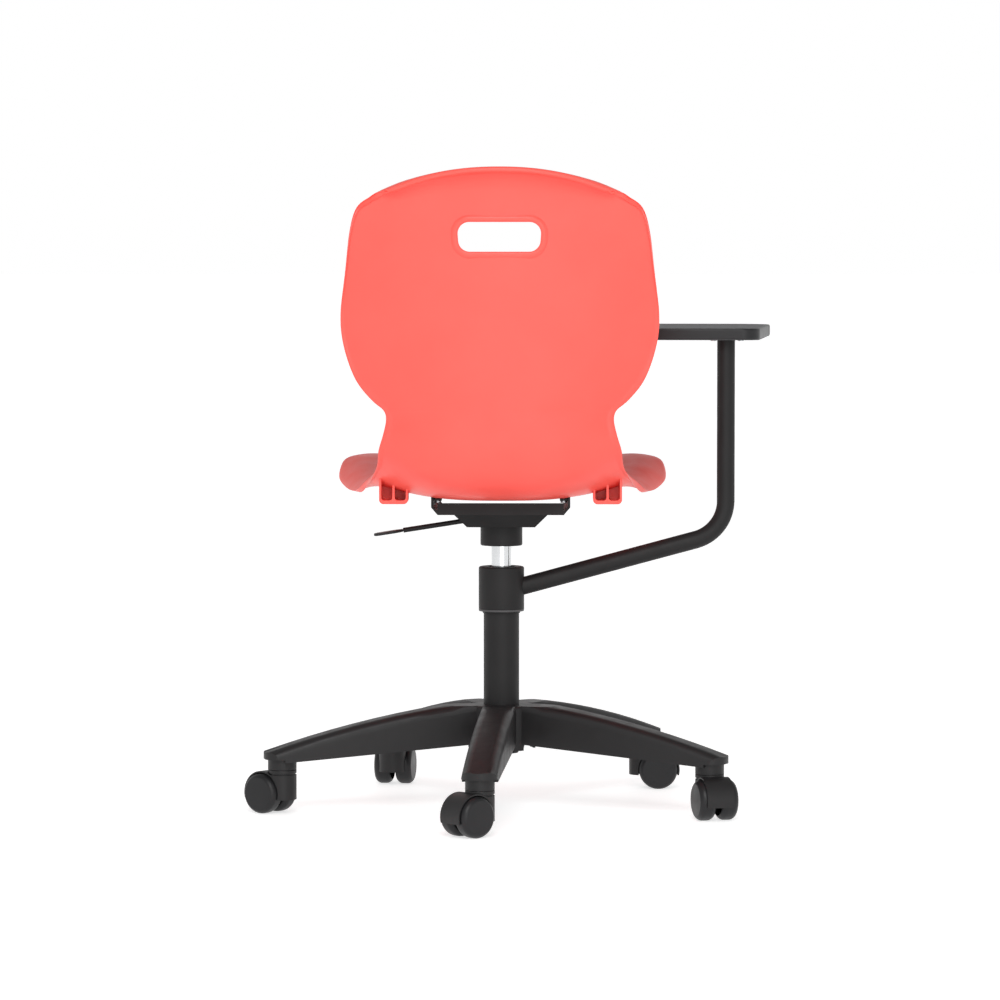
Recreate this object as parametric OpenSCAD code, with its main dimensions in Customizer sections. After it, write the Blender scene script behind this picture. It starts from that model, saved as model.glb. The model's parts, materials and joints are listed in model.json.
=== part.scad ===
// Swivel chair with a one-piece moulded seat shell, a gas lift, a five-leg base on
// twin-wheel castors and a writing tablet whose arm turns round the column.
// The origin is on the floor under the column, +Z is up and the sitter faces -Y.

/* [Seat shell] */
// Height of the back's top edge above the floor
back_top_z = 897.8; // [870:0.1:930]
// Height of the shell's underside at its lowest point
seat_low_z = 438; // [430:1:441]
// How much the seat's underside climbs from its lowest point to the front crest
seat_front_rise = 39; // [28:1:48]
// Distance of the seat's front edge from the column's axis
seat_front = 248; // [236:1:254]
// Distance of the back's outer face from the column's axis at the waist
back_reach = 205; // [195:1:215]
// Half of the seat's greatest width
seat_half_w = 231.5; // [224:0.5:238]
// Half of the width at the waist
waist_half_w = 156; // [146:1:164]
// Half of the back's greatest width
back_half_w = 216.3; // [205:0.1:226]
// Height of the waist
waist_z = 557; // [545:1:570]
// How far the back leans rearwards over its height
back_lean = 46; // [34:1:56]
// How far the back's sides wrap forwards
back_wrap = 48; // [34:1:58]
// Depth of the rolled rim along the top of the back
top_roll = 34; // [24:1:40]
// Wall of the shell
shell_wall = 5; // [4:0.1:6]
// Extra thickness of the bead along the shell's edge
edge_bead = 2.5; // [1:0.1:3.5]

/* [Hand-hold] */
// Width of the hand-hold slot
slot_w = 116; // [95:1:130]
// Height of the hand-hold slot
slot_h = 41; // [34:1:48]
// Distance of the slot's middle below the back's top edge
slot_drop = 95.3; // [90:0.1:106]
// Corner radius of the slot
slot_r = 16; // [10:0.5:19]
// Width of the raised border round the slot
slot_border = 9; // [6:0.5:12]
// Height of the raised border
slot_border_h = 2.5; // [1.5:0.1:4]
// How much narrower the slot is at its bottom than at its top
slot_taper = 3; // [0:0.5:5]

/* [Shell clips and bosses] */
// Width of each moulded clip block under the shell
clip_w = 38; // [32:1:44]
// Depth of each clip block, front to back
clip_depth = 26; // [20:1:32]
// Distance of each clip block's middle from the centre plane
clip_x = 149; // [142:1:152]
// Distance of the clip blocks from the column's axis
clip_y = 94; // [86:1:100]
// Height of the clip blocks' lower face
clip_z = 434; // [430:0.5:437]
// Wall and rib of the clip blocks
clip_wall = 3; // [2.5:0.1:4]
// Diameter of the screw bosses under the shell
boss_d = 12.5; // [11.5:0.1:13]

/* [Seat plate and mechanism] */
// Width of the seat plate across its side walls
plate_w = 193; // [188:1:198]
// Front edge of the seat plate, ahead of the column's axis
plate_front = 140; // [130:1:150]
// Rear edge of the seat plate, behind the column's axis
plate_rear = 90; // [80:1:98]
// Height of the seat plate's lower face
plate_z = 419; // [416:0.5:421]
// Sheet thickness of the seat plate
plate_t = 3; // [2.5:0.1:4]
// Height of the plate's rear flange
plate_flange_h = 15; // [12:0.5:16]
// Sheet thickness of the mechanism housing
housing_t = 2.5; // [2:0.1:3]
// Height of the mechanism housing
housing_h = 24; // [23:0.5:26]
// Half-width of the housing at its top
housing_top_half = 64; // [60:1:68]
// Half-width of the housing at its bottom
housing_low_half = 46.5; // [44:0.5:50]
// Outside diameter of the taper sleeve
sleeve_d = 59; // [54:0.5:62]
// How far the taper sleeve stands below the housing
sleeve_drop = 26; // [22:0.5:28]
// Diameter of the screws that hold the shell
shell_screw_d = 5; // [4:0.1:5]

/* [Height lever] */
// Diameter of the lever's rod
lever_d = 7; // [6:0.1:7.6]
// Reach of the lever's tip from the column's axis
lever_reach = 180; // [165:1:200]
// Length of the flat paddle at the lever's tip
paddle_len = 42; // [34:1:50]
// Width of the paddle
paddle_w = 24; // [18:1:30]
// Thickness of the paddle
paddle_t = 4; // [3:0.1:5]
// Downward slope of the lever, in degrees
lever_slope = 8.9; // [7:0.1:9.2]

/* [Column and gas lift] */
// Diameter of the column's outer tube
tube_d = 50; // [48:0.5:51]
// Height of the outer tube's upper end
tube_top_z = 337; // [330:1:337.5]
// Height of the outer tube's lower end
tube_low_z = 78; // [74:1:82]
// Wall of the outer tube
tube_wall = 2.5; // [2:0.1:3]
// Diameter of the chromed gas cylinder
cylinder_d = 28; // [26:0.1:28.5]
// Diameter of the piston rod
rod_d = 10; // [8:0.1:11]
// Length of the guide bush in the outer tube
guide_len = 90; // [70:1:100]

/* [Tablet arm] */
// Outside diameter of the tablet's collar
collar_d = 64; // [62:0.5:67]
// Height of the collar's lower edge
collar_z = 281; // [276:1:286]
// Gap between the top of the outer tube and the top of the collar
collar_cap = 4; // [3.5:0.1:5]
// Diameter of the arm tube
arm_d = 25; // [22:0.5:28]
// Wall of the arm tube
arm_wall = 2; // [1.5:0.1:3]
// Distance of the upright from the column's axis
arm_reach = 318; // [316:0.5:326]
// Bend radius of the arm at its centre line
arm_bend_r = 56; // [45:1:65]
// Upward slope of the arm's lower run, in degrees
arm_slope = 14.3; // [11:0.1:16]
// Height of the arm's centre line where it leaves the collar
arm_root_z = 313; // [308:0.5:318]

/* [Tablet] */
// Height of the tablet's upper face
tablet_top_z = 676; // [660:1:690]
// Thickness of the tablet
tablet_t = 15; // [12:0.5:18]
// Length of the tablet from its rear edge to its front edge
tablet_len = 446; // [420:1:470]
// Width of the tablet's wide front part
tablet_w = 360; // [330:1:385]
// Width of the tablet's narrow rear part
tablet_rear_w = 172; // [160:1:180]
// Distance of the tablet's outer edge from the upright
tablet_outset = 50; // [44:1:58]
// Distance of the tablet's rear edge behind the upright
tablet_overhang = 36; // [30:1:42]
// Turn of the tablet about the upright, in degrees
tablet_turn = 5; // [0:0.5:8]
// Radius of the tablet's rear corners
tablet_corner_r = 26; // [16:1:34]
// Thickness of the mounting plate under the tablet
mount_t = 3; // [2.5:0.1:5]

/* [Base] */
// Distance of the castors from the column's axis
castor_radius = 313.5; // [305:0.5:325]
// Direction of the first leg, in degrees
base_turn = 85.4; // [72:0.1:96]
// Height of the hub's upper face
hub_top_z = 146.5; // [143:0.5:151]
// Diameter of the hub
hub_d = 96; // [90:1:104]
// Width of a leg
leg_w = 49; // [46:0.5:50]
// Height of a leg's ridge above the castor
leg_tip_z = 94.5; // [94:0.5:98]
// Radius of the arc of a leg's ridge
leg_arc_r = 1500; // [1300:10:3000]
// Where a leg's ridge leaves the level of the hub
leg_level = 83; // [76:1:90]
// Wall of the legs and the hub
base_wall = 3.5; // [3:0.1:4.5]
// Diameter of the round end over each castor
pad_d = 52; // [51:0.5:56]
// Cross ribs under each leg
leg_ribs = 5; // [3:1:7]

/* [Castors] */
// Diameter of a castor wheel
wheel_d = 56; // [52:0.5:57]
// Width of a castor wheel
wheel_w = 25; // [22:0.5:28]
// Gap between the two wheels of a castor
wheel_gap = 6.4; // [6:0.1:8]
// Distance of the axle behind the stem
castor_trail = 22; // [21:0.1:24]
// Height of a castor's collar above the floor
castor_h = 61.7; // [60.5:0.1:63]
// Diameter of a castor's collar and of the neck above it
neck_d = 40; // [37:0.5:42]
// Width of the hood's fender over the wheels
hood_w = 39; // [36:0.5:44]
// Wall of the fender
hood_wall = 2; // [1.6:0.1:2.4]
// Diameter of the castor's stem
stem_d = 11; // [10:0.1:12]
// Length of the stem above the collar
stem_len = 27; // [22:0.5:28]
// Directions in which the five castors trail, in degrees
castor_heading = [41, 106, 181, 261, 323];

/* [Clearances] */
// Radial clearance of pieces that turn or slide in each other
run_gap = 0.05; // [0.02:0.01:0.09]
// Gap between fixed pieces that seat in each other
fit_gap = 0.05; // [0.02:0.01:0.1]
// Gap between faces that pass each other
face_gap = 0.3; // [0.2:0.05:0.5]

/* [Hidden] */

$fn = 96;
mesh_fn = 32;
eps = 0.01;

coral = [0.98, 0.40, 0.37];
black = [0.16, 0.16, 0.17];
charcoal = [0.22, 0.22, 0.23];
steel = [0.72, 0.73, 0.75];
chrome = [0.86, 0.87, 0.89];
nylon = [0.30, 0.30, 0.31];

// Points of an arc, for outlines
function arc(c, r, a0, a1, n = 5) =
    [for (i = [0:n]) c + r * [cos(a0 + (a1 - a0) * i / n), sin(a0 + (a1 - a0) * i / n)]];

// An outline with each corner rounded by its own radius
function unit(v) = v / norm(v);
function turn_left(a, b) = a[0] * b[1] - a[1] * b[0] > 0;
function corner(p, q, s, r, n) =
    let (a = unit(p - q), b = unit(s - q), half = acos(a * b) / 2,
         c = q + unit(a + b) * r / sin(half),
         t0 = q + a * r / tan(half), t1 = q + b * r / tan(half),
         a0 = atan2(t0[1] - c[1], t0[0] - c[0]), a1 = atan2(t1[1] - c[1], t1[0] - c[0]),
         d = turn_left(-a, b) ? (a1 < a0 ? a1 - a0 + 360 : a1 - a0)
                              : (a1 > a0 ? a1 - a0 - 360 : a1 - a0))
    arc(c, r, a0, a0 + d, n);
function rounded(pts, radii, n = 6) =
    [for (i = [0:len(pts) - 1])
        each radii[i] > 0
            ? corner(pts[(i + len(pts) - 1) % len(pts)], pts[i], pts[(i + 1) % len(pts)],
                     radii[i], n)
            : [pts[i]]];

// A turned ring whose outer edges are rounded
module turned_ring(r_in, r_out, z0, z1, f0, f1) {
    outline = concat([[r_in, z0]],
                     f0 > 0 ? arc([r_out - f0, z0 + f0], f0, -90, 0, 4) : [[r_out, z0]],
                     f1 > 0 ? arc([r_out - f1, z1 - f1], f1, 0, 90, 4) : [[r_out, z1]],
                     [[r_in, z1]]);
    rotate_extrude() polygon(outline);
}

module tube(r_in, r_out, z0, z1) {
    translate([0, 0, z0]) difference() {
        cylinder(r = r_out, h = z1 - z0);
        translate([0, 0, -1]) cylinder(r = r_in, h = z1 - z0 + 2);
    }
}

// Seat shell: sections from the front lip to the rolled rim of the back.
// Each section gives the underside's [y, z] on the centre line, its half-width,
// how far its edges move in y and z, and how far its edges roll away from the sitter.
front_y = -seat_front + shell_wall;
waist_row_z = waist_z - 12;
back_rise = back_top_z - waist_row_z;
function back_y(f) = back_reach + back_lean * f;
function back_z(f) = waist_row_z + back_rise * f;
sections = [
    [front_y + 4, seat_low_z + 0.24 * seat_front_rise, 0.7 * seat_half_w, 22, 2, 0],
    [front_y, seat_low_z + 0.6 * seat_front_rise, 0.79 * seat_half_w, 24, 4, 1],
    [front_y + 7, seat_low_z + 0.86 * seat_front_rise, 0.86 * seat_half_w, 24, 9, 3],
    [front_y + 25, seat_low_z + seat_front_rise, 0.91 * seat_half_w, 22, 12, 6],
    [front_y + 63, seat_low_z + 0.93 * seat_front_rise, 0.98 * seat_half_w, 12, 18, 13],
    [front_y + 123, seat_low_z + 0.7 * seat_front_rise, 0.995 * seat_half_w, 2, 18, 24],
    [front_y + 183, seat_low_z + 0.38 * seat_front_rise, 0.94 * seat_half_w, 0, 20, 25],
    [0, seat_low_z + 5.5, 0.872 * seat_half_w, 0, 24, 22],
    [50, seat_low_z + 0.5, 0.817 * seat_half_w, 0, 26, 6],
    [back_reach - 105, seat_low_z, 0.77 * seat_half_w, -2, 34, 0],
    [back_reach - 60, seat_low_z + 9, 0.73 * seat_half_w, -10, 44, 0],
    [back_reach - 25, seat_low_z + 32, waist_half_w + 10, -22, 42, 0],
    [back_reach - 6, seat_low_z + 68, waist_half_w + 4, -32, 26, 0],
    [back_y(0), back_z(0), waist_half_w, -0.78 * back_wrap, 8, 0],
    [back_y(0.05), back_z(0.05), waist_half_w + 4, -0.83 * back_wrap, 4, 0],
    [back_y(0.1), back_z(0.1), 0.81 * back_half_w, -0.87 * back_wrap, 0, 0],
    [back_y(0.19), back_z(0.185), 0.918 * back_half_w, -0.95 * back_wrap, 0, 0],
    [back_y(0.33), back_z(0.32), 0.985 * back_half_w, -back_wrap, 0, 0],
    [back_y(0.48), back_z(0.45), back_half_w, -0.96 * back_wrap, 0, 0],
    [back_y(0.67), back_z(0.605), 0.965 * back_half_w, -0.87 * back_wrap, 0, 0],
    [back_y(0.85), back_z(0.745), 0.94 * back_half_w, -0.75 * back_wrap, -2, 1],
    [back_y(1), back_z(0.86), 0.893 * back_half_w, -0.65 * back_wrap, -11, 3],
    [back_y(1) + 0.17 * top_roll, back_z(0.92), 0.81 * back_half_w, -0.6 * back_wrap, -17, 4],
    [back_y(1) + 0.41 * top_roll, back_z(0.96), 0.745 * back_half_w, -0.6 * back_wrap, -22, 4],
    [back_y(1) + 0.72 * top_roll, back_z(0.978), 0.7 * back_half_w, -0.62 * back_wrap, -26, 3],
    [back_y(1) + top_roll, back_z(0.978), 0.67 * back_half_w, -0.64 * back_wrap, -28, 2]];

function spline(a, b, c, d, t) =
    0.5 * (2 * b + (c - a) * t + (2 * a - 5 * b + 4 * c - d) * t * t
           + (3 * b - a - 3 * c + d) * t * t * t);
last_section = len(sections) - 1;
function section_at(s) =
    let (i = min(floor(s), last_section - 1), t = s - i)
    spline(sections[max(i - 1, 0)], sections[i], sections[i + 1],
           sections[min(i + 2, last_section)], t);
roll_start = 0.8;
function lift_share(u) = pow(abs(u), 2.2);
function roll_share(u) = pow(max(0, (abs(u) - roll_start) / (1 - roll_start)), 2);
function shell_point(u, s) =
    let (q = section_at(s), h = 0.02,
         q0 = section_at(max(s - h, 0)), q1 = section_at(min(s + h, last_section)),
         along = unit([q1[0] - q0[0], q1[1] - q0[1]]), out = [along[1], -along[0]])
    [u * q[2],
     q[0] + q[3] * lift_share(u) + out[0] * q[5] * roll_share(u),
     q[1] + q[4] * lift_share(u) + out[1] * q[5] * roll_share(u)];
function shell_normal(u, s) =
    let (h = 0.03,
         du = shell_point(min(u + h, 1), s) - shell_point(max(u - h, -1), s),
         ds = shell_point(u, min(s + h, last_section)) - shell_point(u, max(s - h, 0)))
    unit(cross(du, ds));
// The sheet's four corners are rounded by ending its outer columns earlier
front_corner = 1.5;
top_corner = 1.3;
corner_start = 0.86;
function corner_share(u) =
    let (part = max(0, (abs(u) - corner_start) / (1 - corner_start)))
    1 - sqrt(max(0, 1 - part * part));
function row_at(u, s) =
    corner_share(u) * (front_corner - (front_corner + top_corner) * s / last_section) + s;
bead_start = 0.965;
rim_start = last_section - 1.6;
function bead(u, s) =
    edge_bead * max(min(1, max(0, (abs(u) - bead_start) * 60)),
                    min(1, max(0, s - rim_start)));

// A closed sheet over a patch of the shell, from extra below the underside to the wall's top
module shell_sheet(us, ss, extra, share = 1) {
    nu = len(us);
    ns = len(ss);
    lower = [for (s = ss) for (u = us)
        let (row = row_at(u, s))
        shell_point(u, row) - shell_normal(u, row) * (extra + share * bead(u, s))];
    upper = [for (s = ss) for (u = us)
        let (row = row_at(u, s))
        shell_point(u, row) + shell_normal(u, row) * shell_wall * share];
    function low(i, j) = j * nu + i;
    function up(i, j) = nu * ns + j * nu + i;
    faces = concat(
        [for (j = [0:ns - 2]) for (i = [0:nu - 2])
            each [[low(i, j), low(i + 1, j), low(i + 1, j + 1)],
                  [low(i, j), low(i + 1, j + 1), low(i, j + 1)],
                  [up(i, j), up(i + 1, j + 1), up(i + 1, j)],
                  [up(i, j), up(i, j + 1), up(i + 1, j + 1)]]],
        [for (i = [0:nu - 2])
            each [[low(i, 0), up(i, 0), up(i + 1, 0)],
                  [low(i, 0), up(i + 1, 0), low(i + 1, 0)],
                  [low(i, ns - 1), up(i + 1, ns - 1), up(i, ns - 1)],
                  [low(i, ns - 1), low(i + 1, ns - 1), up(i + 1, ns - 1)]]],
        [for (j = [0:ns - 2])
            each [[low(0, j), up(0, j + 1), up(0, j)],
                  [low(0, j), low(0, j + 1), up(0, j + 1)],
                  [low(nu - 1, j), up(nu - 1, j), up(nu - 1, j + 1)],
                  [low(nu - 1, j), up(nu - 1, j + 1), low(nu - 1, j + 1)]]]);
    polyhedron(points = concat(lower, upper), faces = faces);
}
half_columns = 14;
columns = [for (k = [-half_columns:half_columns]) sin(90 * k / half_columns)];
rows = [for (k = [0:2 * last_section]) k / 2];
function part_of(list, low, high) = [for (v = list) if (v >= low && v <= high) v];

slot_z = back_top_z - slot_drop;
module slot_prism(grow) {
    hull() for (sx = [-1, 1]) for (sz = [-1, 1])
        translate([sx * (slot_w / 2 - slot_r - (sz < 0 ? slot_taper : 0)), back_reach + 120,
                   slot_z + sz * (slot_h / 2 - slot_r)])
            rotate([90, 0, 0]) cylinder(r = slot_r + grow, h = 200, $fn = mesh_fn);
}

// One clip block, open to the rear in two pockets with a rib between them
module clip_block(side) {
    foot_r = 6;
    top_z = seat_low_z + 40;
    difference() {
        hull() {
            for (sx = [-1, 1])
                translate([side * clip_x + sx * (clip_w / 2 - foot_r), clip_y + clip_depth / 2,
                           clip_z + foot_r])
                    rotate([90, 0, 0]) cylinder(r = foot_r, h = clip_depth, $fn = mesh_fn);
            translate([side * clip_x - clip_w / 2, clip_y - clip_depth / 2, top_z - 1])
                cube([clip_w, clip_depth, 1]);
        }
        pocket_w = (clip_w - 3 * clip_wall) / 2;
        pocket_r = 4;
        for (sx = [-1, 1]) hull() {
            for (px = [-1, 1])
                translate([side * clip_x + sx * (pocket_w + clip_wall) / 2
                               + px * (pocket_w / 2 - pocket_r),
                           clip_y + clip_depth / 2 + 1, clip_z + clip_wall + 2 + pocket_r])
                    rotate([90, 0, 0])
                        cylinder(r = pocket_r, h = clip_depth - clip_wall + 1, $fn = mesh_fn);
            translate([side * clip_x + sx * (pocket_w + clip_wall) / 2 - pocket_w / 2,
                       clip_y - clip_depth / 2 + clip_wall, top_z])
                cube([pocket_w, clip_depth - clip_wall + 1, 1]);
        }
    }
}

// The seat plate's side walls stay just under the shell, and the screw bosses stand
// on the ears of those walls
wall_gap = 3.5;
ear_drop = 1.5;
function under_z(i) =
    sections[i][1] + sections[i][4] * lift_share(plate_w / 2 / sections[i][2]);
wall_line = [for (i = [4:9]) [sections[i][0], under_z(i) - wall_gap]];
function ear_z(y) = lookup(y, wall_line) - ear_drop;
ear_len = 22;
ear_w = 14;
ear_y = [plate_rear - ear_len / 2 - 4, -plate_front + ear_len / 2 + 6];
ear_x = plate_w / 2 - plate_t - ear_w / 2 + 1;

border_steps = 3;
border_step_w = 1.5;
module shell() color(coral) {
    boss_rows = part_of(rows, 3, 11);
    clip_rows = part_of(rows, 7, 11);
    difference() {
        union() {
            shell_sheet(columns, rows, 0);
            // The border rises to the slot in small steps
            for (i = [1:border_steps]) intersection() {
                difference() {
                    slot_prism(slot_border + (border_steps - i) * border_step_w);
                    slot_prism(0);
                }
                shell_sheet(part_of(columns, -0.65, 0.65), part_of(rows, 18, 22.5),
                            slot_border_h * i / border_steps, 0.5);
            }
            intersection() {
                for (side = [-1, 1]) clip_block(side);
                shell_sheet(part_of(columns, -0.99, 0.99), clip_rows, 45, 0.5);
            }
            intersection() {
                for (sx = [-1, 1]) for (y = ear_y)
                    translate([sx * ear_x, y, ear_z(y)])
                        cylinder(d = boss_d, h = 40, $fn = mesh_fn);
                shell_sheet(part_of(columns, -0.7, 0.7), boss_rows, 45, 0.5);
            }
        }
        slot_prism(0);
        for (sx = [-1, 1]) for (y = ear_y)
            translate([sx * ear_x, y, ear_z(y) - 1])
                cylinder(d = shell_screw_d + 4 * fit_gap, h = shell_screw_reach + 2,
                         $fn = mesh_fn);
    }
}

shell_screw_reach = 5;
shell_screw_head = 3;
module shell_screws() color(steel)
    for (sx = [-1, 1]) for (y = ear_y)
        translate([sx * ear_x, y, ear_z(y)]) {
            translate([0, 0, -plate_t - 1])
                cylinder(d = shell_screw_d, h = plate_t + 1 + shell_screw_reach);
            translate([0, 0, -plate_t - shell_screw_head])
                cylinder(d = 1.8 * shell_screw_d, h = shell_screw_head);
        }

// Seat plate: a pressed tray with upturned side walls that carry the ears
plate_half = plate_w / 2;
plate_step = 9;
plate_wall_h = max([for (p = wall_line) p[1]]) - plate_z + plate_t;
module plate_section() {
    t = plate_t;
    polygon([[-plate_half + plate_step, 0], [plate_half - plate_step, 0],
             [plate_half, plate_step], [plate_half, plate_wall_h],
             [plate_half - t, plate_wall_h],
             [plate_half - t, plate_step + 0.4 * t], [plate_half - plate_step - 0.4 * t, t],
             [-plate_half + plate_step + 0.4 * t, t], [-plate_half + t, plate_step + 0.4 * t],
             [-plate_half + t, plate_wall_h], [-plate_half, plate_wall_h],
             [-plate_half, plate_step]]);
}
module seat_plate() color(black) {
    front = -plate_front;
    difference() {
        union() {
            intersection() {
                translate([0, plate_rear, plate_z]) rotate([90, 0, 0])
                    linear_extrude(plate_front + plate_rear) plate_section();
                // The side walls follow the rise of the shell
                translate([-plate_half - 1, 0, 0]) rotate([90, 0, 90])
                    linear_extrude(plate_w + 2)
                        polygon(concat([[wall_line[5][0], plate_z - 1],
                                        [wall_line[0][0], plate_z - 1]], wall_line));
            }
            // Rear and front flanges
            for (y = [plate_rear - plate_t, front])
                translate([-plate_half + plate_step, y, plate_z])
                    cube([plate_w - 2 * plate_step, plate_t, plate_flange_h]);
            // Ears turned in from the side walls
            for (sx = [-1, 1]) for (y = ear_y)
                translate([sx * (plate_half - ear_w / 2 - 0.5) - ear_w / 2, y - ear_len / 2,
                           ear_z(y) - plate_t])
                    cube([ear_w, ear_len, plate_t]);
        }
        for (sx = [-1, 1]) for (y = ear_y)
            translate([sx * ear_x, y, ear_z(y) - plate_t - 1])
                cylinder(d = shell_screw_d + 2 * fit_gap, h = plate_t + 2);
        // Window over the gas lift's valve
        translate([0, 0, plate_z - 1]) cylinder(d = valve_window_d, h = plate_t + 2);
    }
}
valve_window_d = 34;

// Mechanism housing: a pressed cup welded under the seat plate
housing_z = plate_z - housing_h;
housing_rim = 6;
housing_front = 92;
housing_rear = 70;
housing_end = 14;
module housing_solid(inset, z0, z1) {
    low = housing_low_half - inset;
    top = housing_top_half - inset;
    knee = plate_z - housing_rim;
    base_z = max(z0, housing_z);
    intersection() {
        translate([0, 200, 0]) rotate([90, 0, 0]) linear_extrude(400)
            polygon([[-low, z0], [low, z0], [top, knee], [top, z1], [-top, z1], [-top, knee]]);
        translate([-200, 0, 0]) rotate([90, 0, 90]) linear_extrude(400)
            polygon([[-housing_front + housing_end + inset, z0],
                     [housing_rear - housing_end - inset, z0],
                     [housing_rear - inset, knee], [housing_rear - inset, z1],
                     [-housing_front + inset, z1], [-housing_front + inset, knee]]);
    }
}
module mechanism_housing() color(charcoal) {
    difference() {
        union() {
            difference() {
                housing_solid(0, housing_z, plate_z - fit_gap);
                housing_solid(housing_t, housing_z + housing_t, plate_z + 1);
            }
            // Ears that hold the lever's pin
            for (sy = [-1, 1])
                translate([lever_pivot_x - 6, sy * (lever_hub_w / 2 + face_gap + 1.5) - 1.5,
                           housing_z + 1])
                    cube([12, 3, lever_pivot_z + 5 - housing_z]);
        }
        translate([0, 0, housing_z - 1]) cylinder(d = sleeve_d + 2 * fit_gap, h = housing_t + 2);
        translate([lever_pivot_x, 0, lever_pivot_z]) rotate([90, 0, 0])
            cylinder(d = lever_pin_d + 2 * fit_gap, h = 60, center = true);
        // Slot in the side wall for the lever
        translate([lever_pivot_x + 5, -lever_slot_w / 2, housing_z + housing_t + eps])
            cube([60, lever_slot_w, lever_slot_top - housing_z - housing_t]);
    }
}
lever_slot_w = 16;

// Taper sleeve that the gas cylinder is pressed into
taper_len = 33;
taper_drop = 0.8;
sleeve_z = housing_z - sleeve_drop;
module taper_sleeve() color(black) {
    lip = 2;
    difference() {
        turned_ring(0, sleeve_d / 2, sleeve_z, housing_z + housing_t + 2, lip, 0);
        translate([0, 0, sleeve_z - eps])
            cylinder(r1 = cylinder_d / 2 + fit_gap, r2 = cylinder_d / 2 + fit_gap - taper_drop,
                     h = taper_len);
    }
}

// Height lever: a rod through the housing wall, on a cross pin, with a flat paddle
lever_pivot_x = 38;
lever_pin_d = 4;
lever_hub_d = 12;
lever_hub_w = 12;
lever_axis_z = housing_z + 9;
lever_root_x = 58;
function lever_z(x) = lever_axis_z - (x - lever_root_x) * tan(lever_slope);
lever_pivot_z = lever_z(lever_pivot_x);
lever_slot_top = plate_z - 1;
lever_inner = -5;
lever_rod_end = lever_reach - paddle_len;
module along_lever(x)
    translate([x, 0, lever_z(x)]) rotate([0, 90 + lever_slope, 0]) children();
module lever_rod() color(black) {
    difference() {
        union() {
            along_lever(lever_inner)
                cylinder(d = lever_d, h = (lever_rod_end - lever_inner) / cos(lever_slope));
            translate([lever_pivot_x, 0, lever_pivot_z]) rotate([90, 0, 0])
                cylinder(d = lever_hub_d, h = lever_hub_w, center = true);
        }
        translate([lever_pivot_x, 0, lever_pivot_z]) rotate([90, 0, 0])
            cylinder(d = lever_pin_d + 2 * run_gap, h = lever_hub_w + 2, center = true);
        // Flat under the rod's inner end, over the valve
        translate([lever_inner - lever_d, -lever_d, valve_top_z - 3 * lever_d + face_gap])
            cube([4 * lever_d, 2 * lever_d, 3 * lever_d]);
    }
}
module lever_paddle() color(charcoal) {
    tip_r = paddle_w / 2 - 1;
    neck = paddle_w / 3;
    outline = rounded([[0, -neck / 2], [10, -paddle_w / 2], [paddle_len, -paddle_w / 2],
                       [paddle_len, paddle_w / 2], [10, paddle_w / 2], [0, neck / 2]],
                      [0, 6, tip_r, tip_r, 6, 0]);
    translate([lever_rod_end + fit_gap, 0, lever_z(lever_rod_end)])
        rotate([0, lever_slope, 0]) translate([0, 0, -paddle_t / 2])
            linear_extrude(paddle_t) polygon(outline);
}
module lever_pin() color(steel)
    translate([lever_pivot_x, 0, lever_pivot_z]) rotate([90, 0, 0])
        cylinder(d = lever_pin_d, h = lever_hub_w + 2 * face_gap + 8, center = true);

// Gas lift
valve_d = 8;
cylinder_top_z = sleeve_z + taper_len;
cylinder_low_z = 150;
valve_top_z = lever_z(0) - lever_d / 2 - 2 * face_gap;
module valve_pin() color(steel)
    translate([0, 0, cylinder_top_z - 8]) cylinder(d = valve_d, h = valve_top_z - cylinder_top_z + 8);
module gas_cylinder() color(chrome) {
    wall = 2;
    r = cylinder_d / 2;
    difference() {
        rotate_extrude()
            polygon([[0, cylinder_low_z], [r, cylinder_low_z], [r, sleeve_z],
                     [r - taper_drop, cylinder_top_z], [0, cylinder_top_z]]);
        translate([0, 0, cylinder_low_z + 8])
            cylinder(r = r - wall - taper_drop, h = cylinder_top_z - 18 - cylinder_low_z);
        translate([0, 0, cylinder_low_z - 1]) cylinder(d = rod_d + 2 * run_gap, h = 12);
        translate([0, 0, cylinder_top_z - 12]) cylinder(d = valve_d + 2 * run_gap, h = 13);
    }
}

tube_floor = 4;
bearing_h = 8;
shoulder_z = tube_low_z + tube_floor + bearing_h;
rod_top_z = 305;
module piston_rod() color(chrome) {
    rod_low_z = tube_low_z - 5;
    head_r = cylinder_d / 2 - 2.8 - face_gap;
    difference() {
        union() {
            translate([0, 0, rod_low_z]) cylinder(d = rod_d, h = rod_top_z - rod_low_z);
            translate([0, 0, shoulder_z]) cylinder(d = 2 * rod_d, h = 4);
            translate([0, 0, rod_top_z - 15]) cylinder(r = head_r, h = 15);
        }
        // Groove for the clip
        tube(rod_d / 2 - 1, rod_d, clip_ring_z - fit_gap, clip_ring_z + clip_ring_h + fit_gap);
    }
}
clip_ring_h = 1.5;
clip_ring_z = tube_low_z - face_gap - clip_ring_h;
module rod_clip() color(steel)
    tube(rod_d / 2 - 1 + fit_gap, rod_d / 2 + 3.5, clip_ring_z, clip_ring_z + clip_ring_h);
module bump_buffer() color(charcoal)
    turned_ring(rod_d / 2 + fit_gap, 15, shoulder_z + 4, shoulder_z + 22, 2, 2);
module thrust_bearing() color(steel) {
    tube(rod_d / 2 + run_gap, 12.5, tube_low_z + tube_floor, tube_low_z + tube_floor + 2);
    tube(rod_d / 2 + run_gap + 1, 11.5, tube_low_z + tube_floor + 2, shoulder_z - 2);
    tube(rod_d / 2 + run_gap, 12.5, shoulder_z - 2, shoulder_z);
}

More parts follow.
